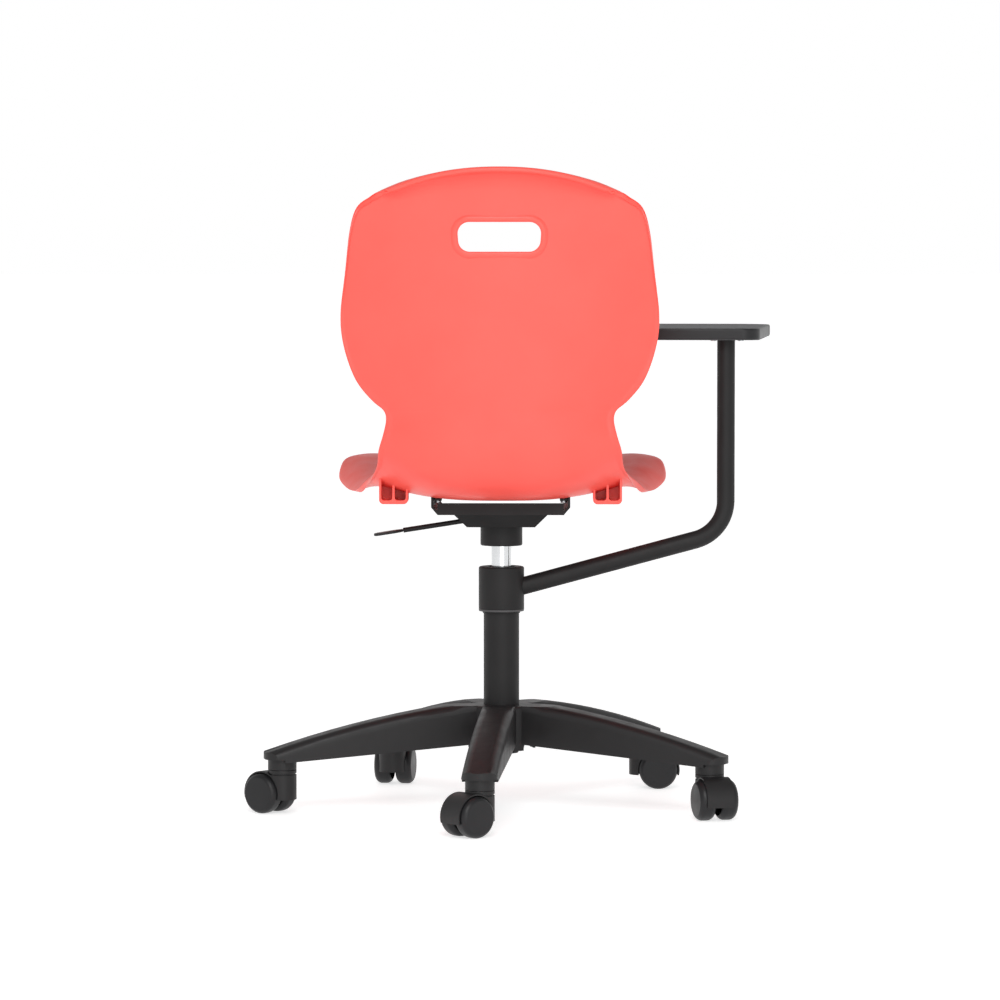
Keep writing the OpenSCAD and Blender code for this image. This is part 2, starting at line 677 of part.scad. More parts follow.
// The outer tube's lower end is a slow taper that wedges in the hub
tube_taper = 1;
tube_taper_z = hub_top_z - 6;
module outer_tube() color(black) {
    r = tube_d / 2;
    difference() {
        rotate_extrude()
            polygon([[0, tube_low_z], [r - tube_taper, tube_low_z], [r, tube_taper_z],
                     [r, tube_top_z], [0, tube_top_z]]);
        translate([0, 0, tube_low_z + tube_floor])
            cylinder(r = r - tube_wall - tube_taper, h = tube_taper_z);
        translate([0, 0, tube_taper_z]) cylinder(r = r - tube_wall, h = tube_top_z);
        translate([0, 0, tube_low_z - 1]) cylinder(d = rod_d + 2 * run_gap, h = tube_floor + 2);
    }
}
module guide_bush() color(nylon)
    tube(cylinder_d / 2 + run_gap, tube_d / 2 - tube_wall - fit_gap, tube_top_z - guide_len,
         tube_top_z);
module stop_ring() color(black)
    turned_ring(tube_d / 2 + fit_gap, tube_d / 2 + 2.5, collar_z - collar_flange - 5,
                collar_z - collar_flange - face_gap, 0.8, 0.8);

// Tablet collar with its two nylon bushes
collar_flange = 3;
collar_top_z = tube_top_z + collar_cap;
collar_bore = tube_d / 2 + 3;
collar_mouth = cylinder_d / 2 + 5;
module tablet_collar() color(black) {
    difference() {
        turned_ring(0, collar_d / 2, collar_z, collar_top_z, 1, 3);
        translate([0, 0, collar_z - 1])
            cylinder(r = collar_bore, h = collar_top_z - collar_roof - collar_z + 1);
        translate([0, 0, collar_top_z - collar_roof - 1])
            cylinder(r = collar_mouth, h = collar_roof + 2);
    }
}
collar_roof = 2.5;
collar_bush_h = 18;
module collar_bush_upper() color(nylon) {
    top_z = collar_top_z - collar_roof - fit_gap;
    difference() {
        translate([0, 0, tube_top_z - collar_bush_h])
            cylinder(r = collar_bore - fit_gap, h = top_z - tube_top_z + collar_bush_h);
        translate([0, 0, tube_top_z - collar_bush_h - 1])
            cylinder(r = tube_d / 2 + run_gap, h = collar_bush_h + 1 + face_gap);
        translate([0, 0, tube_top_z - 1]) cylinder(r = collar_mouth, h = 20);
    }
}
module collar_bush_lower() color(nylon) {
    difference() {
        union() {
            translate([0, 0, collar_z - collar_flange])
                cylinder(r = collar_bore - fit_gap, h = collar_flange + collar_bush_h);
            turned_ring(0, collar_d / 2, collar_z - collar_flange, collar_z - fit_gap, 1, 0);
        }
        translate([0, 0, collar_z - collar_flange - 1])
            cylinder(r = tube_d / 2 + run_gap, h = collar_flange + collar_bush_h + 2);
    }
}

// Arm tube: a sloping run from the collar, one bend and an upright
arm_knee_z = arm_root_z + (arm_reach - collar_d / 2) * tan(arm_slope);
arm_bend_angle = 90 - arm_slope;
arm_tangent = arm_bend_r * tan(arm_bend_angle / 2);
mount_z = tablet_top_z - tablet_t - mount_t;
// The bend is drawn slightly thinner than the straight runs it enters
bend_draw = 0.1;
bend_entry = 1.5;
module arm_path(r) {
    run = arm_reach / cos(arm_slope) - arm_tangent;
    translate([-arm_reach, 0, arm_knee_z]) rotate([0, 90 + arm_slope, 0])
        translate([0, 0, arm_tangent - bend_entry]) cylinder(r = r, h = run + bend_entry);
    translate([-arm_reach + arm_bend_r, 0, arm_knee_z + arm_tangent]) rotate([90, 0, 0])
        rotate([0, 0, 180]) rotate_extrude(angle = arm_bend_angle) translate([arm_bend_r, 0])
            circle(r = r - bend_draw);
    upright_z = arm_knee_z + arm_tangent - bend_entry;
    translate([-arm_reach, 0, upright_z])
        cylinder(r = r, h = mount_z - upright_z + (r < arm_d / 2 ? 1 : 0));
}
module arm_tube() color(black)
    difference() {
        arm_path(arm_d / 2);
        arm_path(arm_d / 2 - arm_wall);
        translate([0, 0, 200]) cylinder(r = collar_d / 2 + fit_gap, h = 300);
    }

// Tablet board and its mounting plate, in a frame on the upright:
// the first axis runs forwards along the board and the second inwards over the lap
module on_upright()
    translate([-arm_reach, 0, 0]) rotate([0, 0, -90 - tablet_turn]) children();
mount_len = 150;
mount_w = 62;
mount_back = arm_d / 2;
mount_holes = [for (a = [30, mount_len - mount_back - 14]) for (b = [-1, 1])
    [a, b * (mount_w / 2 - 12)]];
module mounting_plate() color(black) on_upright() {
    outline = rounded([[-mount_back, -mount_w / 2], [mount_len - mount_back, -mount_w / 2],
                       [mount_len - mount_back, mount_w / 2], [-mount_back, mount_w / 2]],
                      [mount_back, 8, 8, mount_back]);
    difference() {
        translate([0, 0, mount_z + fit_gap]) linear_extrude(mount_t - fit_gap) polygon(outline);
        for (p = mount_holes) translate([p[0], p[1], mount_z - 1])
            cylinder(d = tablet_screw_d + 2 * fit_gap, h = mount_t + 2);
    }
}
tablet_screw_d = 5;
tablet_screw_reach = 10;
module tablet_screws() color(steel) on_upright()
    for (p = mount_holes) translate([p[0], p[1], mount_z]) {
        translate([0, 0, -2]) cylinder(d = 1.8 * tablet_screw_d, h = 2);
        translate([0, 0, -1]) cylinder(d = tablet_screw_d, h = mount_t + 1 + tablet_screw_reach);
    }
module tablet_board() color(charcoal) on_upright() {
    back = -tablet_overhang;
    front = tablet_len - tablet_overhang;
    outer = -tablet_outset;
    outline = rounded([[back, outer], [front, outer], [front, outer + tablet_w],
                       [back + 0.56 * tablet_len, outer + tablet_w],
                       [back + 0.24 * tablet_len, outer + tablet_rear_w],
                       [back, outer + tablet_rear_w]],
                      [tablet_corner_r, 70, 60, 70, 90, tablet_corner_r], 8);
    difference() {
        translate([0, 0, tablet_top_z - tablet_t]) linear_extrude(tablet_t) polygon(outline);
        for (p = mount_holes) translate([p[0], p[1], tablet_top_z - tablet_t - 1])
            cylinder(d = tablet_screw_d + 2 * fit_gap, h = tablet_screw_reach + 1.5);
    }
}

// Five-leg base, moulded as channels with ribs and a castor neck at each tip
neck_z = castor_h + face_gap;
leg_chord = [castor_radius - leg_level, leg_tip_z - hub_top_z];
leg_mid = [(castor_radius + leg_level) / 2, (leg_tip_z + hub_top_z) / 2];
leg_sag = sqrt(leg_arc_r * leg_arc_r - leg_chord * leg_chord / 4);
leg_centre = leg_mid + leg_sag * [leg_chord[1], -leg_chord[0]] / norm(leg_chord);
function leg_ridge(r) =
    leg_centre[1] + sqrt(leg_arc_r * leg_arc_r - (r - leg_centre[0]) * (r - leg_centre[0]));
leg_under_hub = 92.5;
leg_under_tip = 72.4;
pad_low_z = 76.5;
function leg_under(r) =
    leg_under_hub + (leg_under_tip - leg_under_hub) * (r - hub_d / 2) / (castor_radius - hub_d / 2);
leg_round = 13;

function leg_section(half_w, round_r, top, low) =
    concat([[low, -half_w]],
           arc([top - round_r, -half_w + round_r], round_r, -90, 0, 4),
           arc([top - round_r, half_w - round_r], round_r, 0, 90, 4),
           [[low, half_w]]);

// The leg's section turned along the ridge's arc, between two distances
module leg_sweep(r0, r1, half_w, round_r, drop) {
    a0 = acos((r0 - leg_centre[0]) / leg_arc_r);
    a1 = acos((r1 - leg_centre[0]) / leg_arc_r);
    translate([leg_centre[0], 0, leg_centre[1]]) rotate([90, 0, 0]) rotate([0, 0, a1])
        rotate_extrude(angle = a0 - a1, $fn = 256)
            polygon(leg_section(half_w, round_r, leg_arc_r - drop, leg_arc_r - 90));
}
module leg_outer() {
    end_r = castor_radius + pad_d / 2;
    intersection() {
        leg_sweep(leg_root, end_r + 2, leg_w / 2, leg_round, 0);
        // Side view: the hub's level, the underside and the lip over the castor
        translate([0, 40, 0]) rotate([90, 0, 0]) linear_extrude(80)
            polygon([[leg_root - 5, leg_under(leg_root)], [castor_radius, leg_under_tip],
                     [castor_radius, pad_low_z], [end_r + 5, pad_low_z], [end_r + 5, hub_top_z],
                     [leg_root - 5, hub_top_z]]);
        // Plan view: straight sides and a round end
        linear_extrude(200)
            polygon(concat([[leg_root - 5, -pad_d / 2 - 1]],
                           [[castor_radius - 5, -pad_d / 2 - 1]],
                           arc([castor_radius, 0], pad_d / 2, -90, 90, 24),
                           [[castor_radius - 5, pad_d / 2 + 1]],
                           [[leg_root - 5, pad_d / 2 + 1]]));
    }
    translate([castor_radius, 0, neck_z]) cylinder(d = neck_d, h = 25);
}
module leg_hollow() {
    cavity_end = castor_radius - neck_d / 2 - base_wall;
    intersection() {
        leg_sweep(hub_d / 2 + 1, cavity_end, leg_w / 2 - base_wall, leg_round - base_wall,
                  base_wall);
        translate([0, 40, 0]) rotate([90, 0, 0]) linear_extrude(80)
            polygon([[0, 20], [360, 20], [360, hub_top_z - base_wall],
                     [0, hub_top_z - base_wall]]);
    }
}
module leg_rib_set() {
    rib_t = 2.5;
    seat_in = 0.7;
    spine_low = leg_under_tip + 17;
    first = hub_d / 2 + 20;
    last = castor_radius - neck_d / 2 - 16;
    for (i = [0:leg_ribs - 1]) {
        r = first + (last - first) * i / (leg_ribs - 1);
        translate([r, 0, 0]) rotate([0, -90, 180]) linear_extrude(rib_t)
            polygon(leg_section(leg_w / 2 - base_wall + seat_in, leg_round - base_wall + seat_in,
                                min(leg_ridge(r + rib_t), hub_top_z) - base_wall + seat_in,
                                leg_under(r) + 4));
    }
    // Spine along the ceiling
    spine_end = castor_radius - neck_d / 2 - 1;
    translate([0, rib_t / 2, 0]) rotate([90, 0, 0]) linear_extrude(rib_t)
        polygon(concat([[hub_d / 2 - 1, spine_low]], [[spine_end, spine_low]],
                       [for (i = [8:-1:0])
                           let (r = hub_d / 2 - 1 + (spine_end - hub_d / 2 + 1) * i / 8)
                           [r, min(leg_ridge(r), hub_top_z) - base_wall + seat_in]]));
}
leg_root = 40;
hub_low_z = 84;
socket_wall = 5;
module star_base() color(black) {
    difference() {
        union() {
            turned_ring(0, hub_d / 2, hub_low_z, hub_top_z, 0, 6);
            for (k = [0:4]) rotate([0, 0, base_turn + 72 * k]) leg_outer();
        }
        // Underside of the hub, between its wall and the taper socket
        tube(tube_d / 2 + socket_wall, hub_d / 2 - base_wall, hub_low_z - 1,
             hub_top_z - 2 * base_wall);
        for (k = [0:4]) rotate([0, 0, base_turn + 72 * k]) leg_hollow();
        // Taper bore for the column
        bore = tube_d / 2 + fit_gap;
        rotate_extrude()
            polygon([[0, tube_low_z], [bore - tube_taper, tube_low_z], [bore, tube_taper_z],
                     [bore, hub_top_z + 1], [0, hub_top_z + 1]]);
        for (k = [0:4]) rotate([0, 0, base_turn + 72 * k])
            translate([castor_radius, 0, neck_z - 1])
                cylinder(d = socket_d + 2 * fit_gap, h = socket_len + 1 + fit_gap);
    }
    for (k = [0:4]) rotate([0, 0, base_turn + 72 * k]) leg_rib_set();
}
socket_d = stem_d + 4;
socket_len = stem_len + 2;
module castor_sockets() color(steel)
    for (k = [0:4]) rotate([0, 0, base_turn + 72 * k]) translate([castor_radius, 0, 0])
        difference() {
            translate([0, 0, neck_z]) cylinder(d = socket_d, h = socket_len);
            translate([0, 0, neck_z - 1]) cylinder(d = stem_d + 2 * run_gap, h = socket_len - 1);
        }

// Castors
axle_z = wheel_d / 2;
axle_d = 6;
wheel_room = wheel_d / 2 + 1.3;
hood_low = 20;
web_low = 20;
web_t = wheel_gap - 2 * face_gap;
groove_z = castor_h - 7.2;
groove_h = 2.4;
groove_depth = 1.5;
module at_castor(k)
    rotate([0, 0, base_turn + 72 * (k - 1)]) translate([castor_radius, 0, 0])
        rotate([0, 0, castor_heading[k - 1] - base_turn - 72 * (k - 1)]) children();
module at_axle()
    translate([castor_trail, 0, axle_z]) rotate([90, 0, 0]) children();
module castor_hood(k) color(black) at_castor(k) {
    r = neck_d / 2;
    difference() {
        union() {
            difference() {
                union() {
                    // Column on the leading side, with a groove under its collar
                    rotate_extrude()
                        polygon(concat([[0, hood_low], [r, hood_low], [r, groove_z],
                                        [r - groove_depth, groove_z + 0.4],
                                        [r - groove_depth, groove_z + groove_h - 0.4],
                                        [r, groove_z + groove_h]],
                                       arc([r - 1, castor_h - 1], 1, 0, 90, 3),
                                       [[0, castor_h]]));
                    // Fender over the wheels
                    intersection() {
                        at_axle() cylinder(r = wheel_room + hood_wall, h = hood_w, center = true);
                        translate([0, -r - 5, hood_low]) cube([80, 2 * r + 10, 60]);
                    }
                }
                at_axle() cylinder(r = wheel_room, h = 3 * r, center = true);
            }
            // Web and axle boss between the wheels
            intersection() {
                at_axle() cylinder(r = wheel_room + hood_wall / 2, h = web_t, center = true);
                translate([-r, -r, web_low]) cube([90, 2 * r, 60]);
            }
            translate([3 - r, -web_t / 2, hood_low + 1])
                cube([castor_trail, web_t, castor_h - hood_low - 4]);
        }
        at_axle() cylinder(d = axle_d + 2 * fit_gap, h = 60, center = true);
        translate([0, 0, stem_root_z - fit_gap]) cylinder(d = stem_d + 2 * fit_gap, h = 60);
    }
}
stem_root_z = 53.6;
module castor_stem(k) color(steel) at_castor(k) {
    translate([0, 0, stem_root_z]) cylinder(d = stem_d, h = castor_h + stem_len - stem_root_z - 1);
    translate([0, 0, castor_h + stem_len - 1 - eps])
        cylinder(d1 = stem_d, d2 = stem_d - 2, h = 1 + eps);
}
wheel_cap = 5;
module castor_axle(k) color(steel) at_castor(k)
    at_axle() cylinder(d = axle_d, h = 2 * (wheel_w - wheel_cap - face_gap) + wheel_gap,
                       center = true);

// A wheel's section: a rounded tread, a domed outer face and a recessed hub behind it
module castor_wheel(k, side) color(charcoal) at_castor(k) at_axle()
    rotate([side > 0 ? 0 : 180, 0, 0]) translate([0, 0, wheel_gap / 2]) {
        r = wheel_d / 2;
        w = wheel_w;
        tread_r = 5;
        difference() {
            rotate_extrude()
                polygon(concat([[0, 0], [r - tread_r - 2, 0]],
                               arc([r - tread_r, tread_r], tread_r, -60, 0, 4),
                               arc([r - 9, w - 9], 9, 0, 70, 6), [[0, w]]));
            tube(6.5, r - 6, -1, w - 12);
            translate([0, 0, -1]) cylinder(d = axle_d + 2 * run_gap, h = w - wheel_cap + 1);
        }
    }

shell();
shell_screws();
seat_plate();
mechanism_housing();
taper_sleeve();
lever_rod();
lever_paddle();
lever_pin();
valve_pin();
gas_cylinder();
piston_rod();
bump_buffer();
thrust_bearing();
rod_clip();
outer_tube();
guide_bush();
stop_ring();
tablet_collar();
collar_bush_upper();
collar_bush_lower();
arm_tube();
mounting_plate();
tablet_board();
tablet_screws();
star_base();
castor_sockets();
for (k = [1:5]) {
    castor_hood(k);
    castor_stem(k);
    castor_axle(k);
    castor_wheel(k, 1);
    castor_wheel(k, -1);
}
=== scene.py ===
# Finished look of a swivel chair with a moulded seat shell and a writing tablet.
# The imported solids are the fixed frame; everything is in metres, +Z is up and the
# sitter faces -Y. Sizes of the shell, its clip blocks and the tablet are in millimetres.
import json
import math

import bmesh
import bpy
from bpy.props import FloatProperty, FloatVectorProperty, IntProperty, PointerProperty
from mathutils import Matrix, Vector


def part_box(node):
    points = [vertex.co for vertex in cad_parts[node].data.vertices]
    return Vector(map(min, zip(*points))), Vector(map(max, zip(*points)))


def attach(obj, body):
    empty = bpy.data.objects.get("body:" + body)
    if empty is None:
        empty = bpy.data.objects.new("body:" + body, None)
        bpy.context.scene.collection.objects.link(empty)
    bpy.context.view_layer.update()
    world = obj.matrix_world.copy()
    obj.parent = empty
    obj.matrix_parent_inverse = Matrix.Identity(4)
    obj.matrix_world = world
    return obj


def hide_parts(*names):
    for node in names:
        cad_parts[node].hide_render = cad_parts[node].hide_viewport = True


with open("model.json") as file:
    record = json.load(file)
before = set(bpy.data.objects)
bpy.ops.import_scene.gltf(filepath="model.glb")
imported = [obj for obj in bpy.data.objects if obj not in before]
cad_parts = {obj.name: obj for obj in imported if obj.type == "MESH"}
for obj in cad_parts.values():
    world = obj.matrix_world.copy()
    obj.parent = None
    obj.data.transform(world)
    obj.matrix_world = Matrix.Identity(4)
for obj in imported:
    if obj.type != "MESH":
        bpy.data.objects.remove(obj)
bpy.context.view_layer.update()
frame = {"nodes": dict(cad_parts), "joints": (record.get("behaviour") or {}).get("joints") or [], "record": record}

bl_info = {
    "name": "Tablet arm chair",
    "version": (1, 0, 0),
    "blender": (4, 5, 0),
    "location": "3D View > Sidebar > Chair",
    "description": "Builds the finished look of a moulded swivel chair with a writing tablet",
    "category": "Object",
}

MM = 0.001
BOARD_LOW, BOARD_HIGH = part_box("tablet_board")
CASTORS = range(1, 6)

# Points closer than this are one point, and faces flatter than this angle are one face
MERGE_DISTANCE = 1e-5
COPLANAR_DEGREES = 0.5


class ShellSizes(bpy.types.PropertyGroup):
    """Sizes of the moulded seat shell, in millimetres"""

    back_top: FloatProperty(name="Back top", description="Height of the back's top edge",
                            default=898.8)
    seat_low: FloatProperty(name="Seat low", description="Lowest point of the underside",
                            default=438.5)
    front_rise: FloatProperty(name="Front rise", description="Climb of the seat to its crest",
                              default=39)
    seat_front: FloatProperty(name="Seat front", description="Reach of the front edge",
                              default=248)
    back_reach: FloatProperty(name="Back reach", description="Reach of the back at its waist",
                              default=205)
    seat_half: FloatProperty(name="Seat half-width", description="Half of the seat's width",
                             default=231)
    waist_half: FloatProperty(name="Waist half-width", description="Half of the waist",
                              default=156)
    back_half: FloatProperty(name="Back half-width", description="Half of the back's width",
                             default=216.8)
    waist_height: FloatProperty(name="Waist height", description="Height of the waist",
                                default=557)
    back_lean: FloatProperty(name="Back lean", description="Lean of the back", default=46)
    back_wrap: FloatProperty(name="Back wrap", description="Forward wrap of the sides",
                             default=48)
    top_roll: FloatProperty(name="Top roll", description="Depth of the rolled top rim",
                            default=34)
    wall: FloatProperty(name="Wall", description="Thickness of the shell", default=5)
    bead: FloatProperty(name="Edge bead", description="Extra thickness along the edge",
                        default=2.5)
    slot_width: FloatProperty(name="Hand-hold width", description="Width of the slot",
                              default=116)
    slot_height: FloatProperty(name="Hand-hold height", description="Height of the slot",
                               default=41)
    slot_drop: FloatProperty(name="Hand-hold drop", description="Slot below the top edge",
                             default=96.3)
    slot_corner: FloatProperty(name="Hand-hold corner", description="Corner radius",
                               default=16)
    slot_taper: FloatProperty(name="Hand-hold taper", description="Narrowing at its bottom",
                              default=3)
    border_width: FloatProperty(name="Border width", description="Width of the raised border",
                                default=9)
    border_height: FloatProperty(name="Border height", description="Height of the border",
                                 default=2.6)
    columns: IntProperty(name="Columns", description="Mesh columns over half the width",
                         default=40, min=12, max=60)


class TabletSizes(bpy.types.PropertyGroup):
    """Sizes of the writing tablet, in millimetres"""

    length: FloatProperty(name="Length", description="Rear edge to front edge", default=446)
    width: FloatProperty(name="Width", description="Width of the front part", default=360)
    rear_width: FloatProperty(name="Rear width", description="Width of the rear part",
                              default=172)
    outset: FloatProperty(name="Outset", description="Outer edge beyond the upright",
                          default=48)
    overhang: FloatProperty(name="Overhang", description="Rear edge behind the upright",
                            default=36)
    turn: FloatProperty(name="Turn", description="Turn about the upright, in degrees",
                        default=5)
    reach: FloatProperty(name="Arm reach", description="Upright to the column's axis",
                         default=315.2)
    band: FloatProperty(name="Edge band", description="Thickness of the edge band",
                        default=0.8)


class ChairColours(bpy.types.PropertyGroup):
    """Colours of the chair's finishes"""

    shell: FloatVectorProperty(name="Shell", description="Moulded shell", subtype="COLOR",
                               default=(0.86, 0.098, 0.078))
    plastic: FloatVectorProperty(name="Black plastic", description="Small mouldings",
                                 subtype="COLOR", default=(0.012, 0.012, 0.013))
    base: FloatVectorProperty(name="Base plastic", description="Base and castor hoods",
                              subtype="COLOR", default=(0.012, 0.0115, 0.012))
    wheel: FloatVectorProperty(name="Wheels", description="Castor wheels",
                               subtype="COLOR", default=(0.010, 0.010, 0.011))
    paint: FloatVectorProperty(name="Black paint", description="Powder-coated steel",
                               subtype="COLOR", default=(0.0135, 0.0132, 0.0135))
    laminate: FloatVectorProperty(name="Laminate", description="Tablet face",
                                  subtype="COLOR", default=(0.040, 0.041, 0.043))
    steel: FloatVectorProperty(name="Bright steel", description="Plain steel parts",
                               subtype="COLOR", default=(0.60, 0.61, 0.63))


class StudioSizes(bpy.types.PropertyGroup):
    """Camera and light of the studio"""

    distance: FloatProperty(name="Camera distance", description="Camera to the column",
                            default=6.286, unit="LENGTH")
    height: FloatProperty(name="Camera height", description="Camera above the floor",
                          default=0.7746, unit="LENGTH")
    offset: FloatProperty(name="Camera offset", description="Sideways shift of the camera",
                          default=0.0020, unit="LENGTH")
    turn: FloatProperty(name="Camera turn", description="Camera's turn from square on",
                        default=0.7)
    pitch: FloatProperty(name="Camera pitch", description="Camera's downward tilt",
                         default=3.1)
    lens: FloatProperty(name="Focal length", description="Focal length in millimetres",
                        default=161.15)
    daylight: FloatProperty(name="Room light", description="Strength of the white room",
                            default=1.0)
    key: FloatProperty(name="Key light", description="Power of the large lamp in watts",
                       default=84)


def sizes():
    return bpy.context.scene.chair_shell


# Small modelling helpers

def take(piece):
    if bpy.context.object and bpy.context.object.mode != "OBJECT":
        bpy.ops.object.mode_set(mode="OBJECT")
    bpy.ops.object.select_all(action="DESELECT")
    piece.select_set(True)
    bpy.context.view_layer.objects.active = piece
    return piece


def started(name):
    """Names the primitive just added and puts its place into its mesh."""
    piece = bpy.context.object
    piece.name = name
    piece.data.name = name
    bpy.ops.object.transform_apply(location=True, rotation=True, scale=True)
    return piece


def clear_selection():
    bpy.ops.object.select_all(action="DESELECT")


def modify(piece, kind, **settings):
    take(piece)
    modifier = piece.modifiers.new(kind.title(), kind)
    for key, value in settings.items():
        setattr(modifier, key, value)
    bpy.ops.object.modifier_apply(modifier=modifier.name)


def cut(piece, cutter, operation="DIFFERENCE"):
    modify(piece, "BOOLEAN", object=cutter, operation=operation, solver="EXACT")
    bpy.data.objects.remove(cutter)


def edit_all(piece):
    """Opens a piece's mesh with everything selected."""
    take(piece)
    bpy.ops.object.mode_set(mode="EDIT")
    bpy.ops.mesh.select_all(action="SELECT")


def end_edit():
    bpy.ops.object.mode_set(mode="OBJECT")


def draw_out(step):
    """Extrudes the open mesh by a step into a closed block."""
    bpy.ops.mesh.select_all(action="SELECT")
    bpy.ops.mesh.extrude_region_move(TRANSFORM_OT_translate={"value": step})
    bpy.ops.mesh.select_all(action="SELECT")
    bpy.ops.mesh.normals_make_consistent(inside=False)


def merged(piece, distance=MERGE_DISTANCE):
    """Joins the points that meet and turns all faces outwards."""
    edit_all(piece)
    bpy.ops.mesh.remove_doubles(threshold=distance)
    bpy.ops.mesh.normals_make_consistent(inside=False)
    end_edit()


def softened(piece, width, segments=2, degrees=50):
    """Rounds the edges that are sharper than an angle."""
    modify(piece, "BEVEL", width=width, segments=segments, limit_method="ANGLE",
           angle_limit=math.radians(degrees))


def smoothed(piece, degrees=40):
    take(piece)
    bpy.ops.object.shade_smooth_by_angle(angle=math.radians(degrees))


def seated(piece, body, slot, *nodes):
    """Gives a finished piece its body and its material, and hides the nodes that it stands for."""
    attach(piece, body)
    if nodes:
        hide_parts(*nodes)
    piece.data.materials.clear()
    piece.data.materials.append(finish(slot))
    return piece


def rounded_copy(node, name, width, body, slot, degrees=38, segments=2, move=None,
                 cutter=None):
    """A merged copy of a CAD node, which stands for the node.

    move shifts each point of the copy, and cutter is taken away from it, before its
    edges are rounded. The rounding is clamped where it would overlap. That leaves next
    to none of it on the base, the castors' hoods, the seat plate, the cup, the arm
    tube, the stop ring and the lever's rod, and faces without area on the base.
    """
    piece = bpy.data.objects.new(name, frame["nodes"][node].data.copy())
    bpy.context.scene.collection.objects.link(piece)
    edit_all(piece)
    bpy.ops.mesh.remove_doubles(threshold=MERGE_DISTANCE)
    bpy.ops.mesh.dissolve_limited(angle_limit=math.radians(COPLANAR_DEGREES))
    end_edit()
    if move:
        for vertex in piece.data.vertices:
            vertex.co = move(vertex.co.copy())
    if cutter:
        cut(piece, cutter)
    modify(piece, "BEVEL", width=width, segments=segments, limit_method="ANGLE",
           angle_limit=math.radians(degrees), use_clamp_overlap=True)
    smoothed(piece, degrees)
    modify(piece, "WEIGHTED_NORMAL", keep_sharp=True, weight=60)
    return seated(piece, body, slot, node)


# Materials

# Nearly all of a noise lies between these values
NOISE_LOW = 0.3
NOISE_HIGH = 0.7


def new_material(name):
    material = bpy.data.materials.new(name)
    material.use_nodes = True
    nodes = material.node_tree.nodes
    shader = next(n for n in nodes if n.type == "BSDF_PRINCIPLED")
    return material, nodes, material.node_tree.links, shader


def fill(node, values):
    for name, value in values.items():
        node.inputs[name].default_value = value


def mottle(nodes, links, scale, detail, low=0, high=1, stretch=(1, 1, 1)):
    """A noise on Object coordinates, spread between two values."""
    place = nodes.new("ShaderNodeTexCoord")
    turn = nodes.new("ShaderNodeMapping")
    fill(turn, {"Scale": stretch})
    noise = nodes.new("ShaderNodeTexNoise")
    fill(noise, {"Scale": scale, "Detail": detail})
    spread = nodes.new("ShaderNodeMapRange")
    fill(spread, {"From Min": NOISE_LOW, "From Max": NOISE_HIGH, "To Min": low,
                  "To Max": high})
    links.new(place.outputs["Object"], turn.inputs["Vector"])
    links.new(turn.outputs["Vector"], noise.inputs["Vector"])
    links.new(noise.outputs["Fac"], spread.inputs["Value"])
    return spread.outputs["Result"]


def shaded(nodes, links, shader, colour, share, factor):
    """Base colour that wanders between a darker and a lighter tone."""
    blend = nodes.new("ShaderNodeMix")
    blend.data_type = "RGBA"
    dark = [c * (1 - share) for c in colour]
    light = [min(1, c * (1 + share)) for c in colour]
    blend.inputs["A"].default_value = (*dark, 1)
    blend.inputs["B"].default_value = (*light, 1)
    links.new(factor, blend.inputs["Factor"])
    links.new(blend.outputs["Result"], shader.inputs["Base Color"])


def bumped(nodes, links, shader, height, distance, strength, before=None):
    """Fine relief of a height in metres, over an earlier relief if there is one."""
    bump = nodes.new("ShaderNodeBump")
    fill(bump, {"Distance": distance, "Strength": strength})
    links.new(height, bump.inputs["Height"])
    if before:
        links.new(before.outputs["Normal"], bump.inputs["Normal"])
    links.new(bump.outputs["Normal"], shader.inputs["Normal"])
    return bump


def plastic(name, colour, rough, grain, depth, share=0.05, soft=0.0):
    """Moulded plastic: a fine grain of a depth in metres over a slow wave."""
    material, nodes, links, shader = new_material(name)
    shaded(nodes, links, shader, colour, share, mottle(nodes, links, 14, 3))
    links.new(mottle(nodes, links, 45, 4, rough - 0.05, rough + 0.06),
              shader.inputs["Roughness"])
    wave = bumped(nodes, links, shader, mottle(nodes, links, 26, 2), 0.00025, 0.35)
    bumped(nodes, links, shader, mottle(nodes, links, grain, 5), depth, 0.6, wave)
    fill(shader, {"Specular IOR Level": 0.3, "Subsurface Weight": soft})
    if soft:
        fill(shader, {"Subsurface Radius": (0.004, 0.0012, 0.0009)})
    return material


def painted(name, colour):
    """Powder coat: a fine orange peel over steel."""
    material, nodes, links, shader = new_material(name)
    shaded(nodes, links, shader, colour, 0.12, mottle(nodes, links, 30, 3))
    links.new(mottle(nodes, links, 60, 4, 0.46, 0.56), shader.inputs["Roughness"])
    bumped(nodes, links, shader, mottle(nodes, links, 950, 3), 0.00006, 0.7)
    fill(shader, {"Specular IOR Level": 0.2})
    return material


def metal(name, colour, rough, stretch):
    """Drawn or turned metal with fine lines along or round the part."""
    material, nodes, links, shader = new_material(name)
    shaded(nodes, links, shader, colour, 0.06, mottle(nodes, links, 20, 3))
    links.new(mottle(nodes, links, 30, 6, rough - 0.03, rough + 0.07, stretch),
              shader.inputs["Roughness"])
    bumped(nodes, links, shader, mottle(nodes, links, 40, 4, stretch=stretch), 0.00002,
           0.5)
    fill(shader, {"Metallic": 1})
    return material


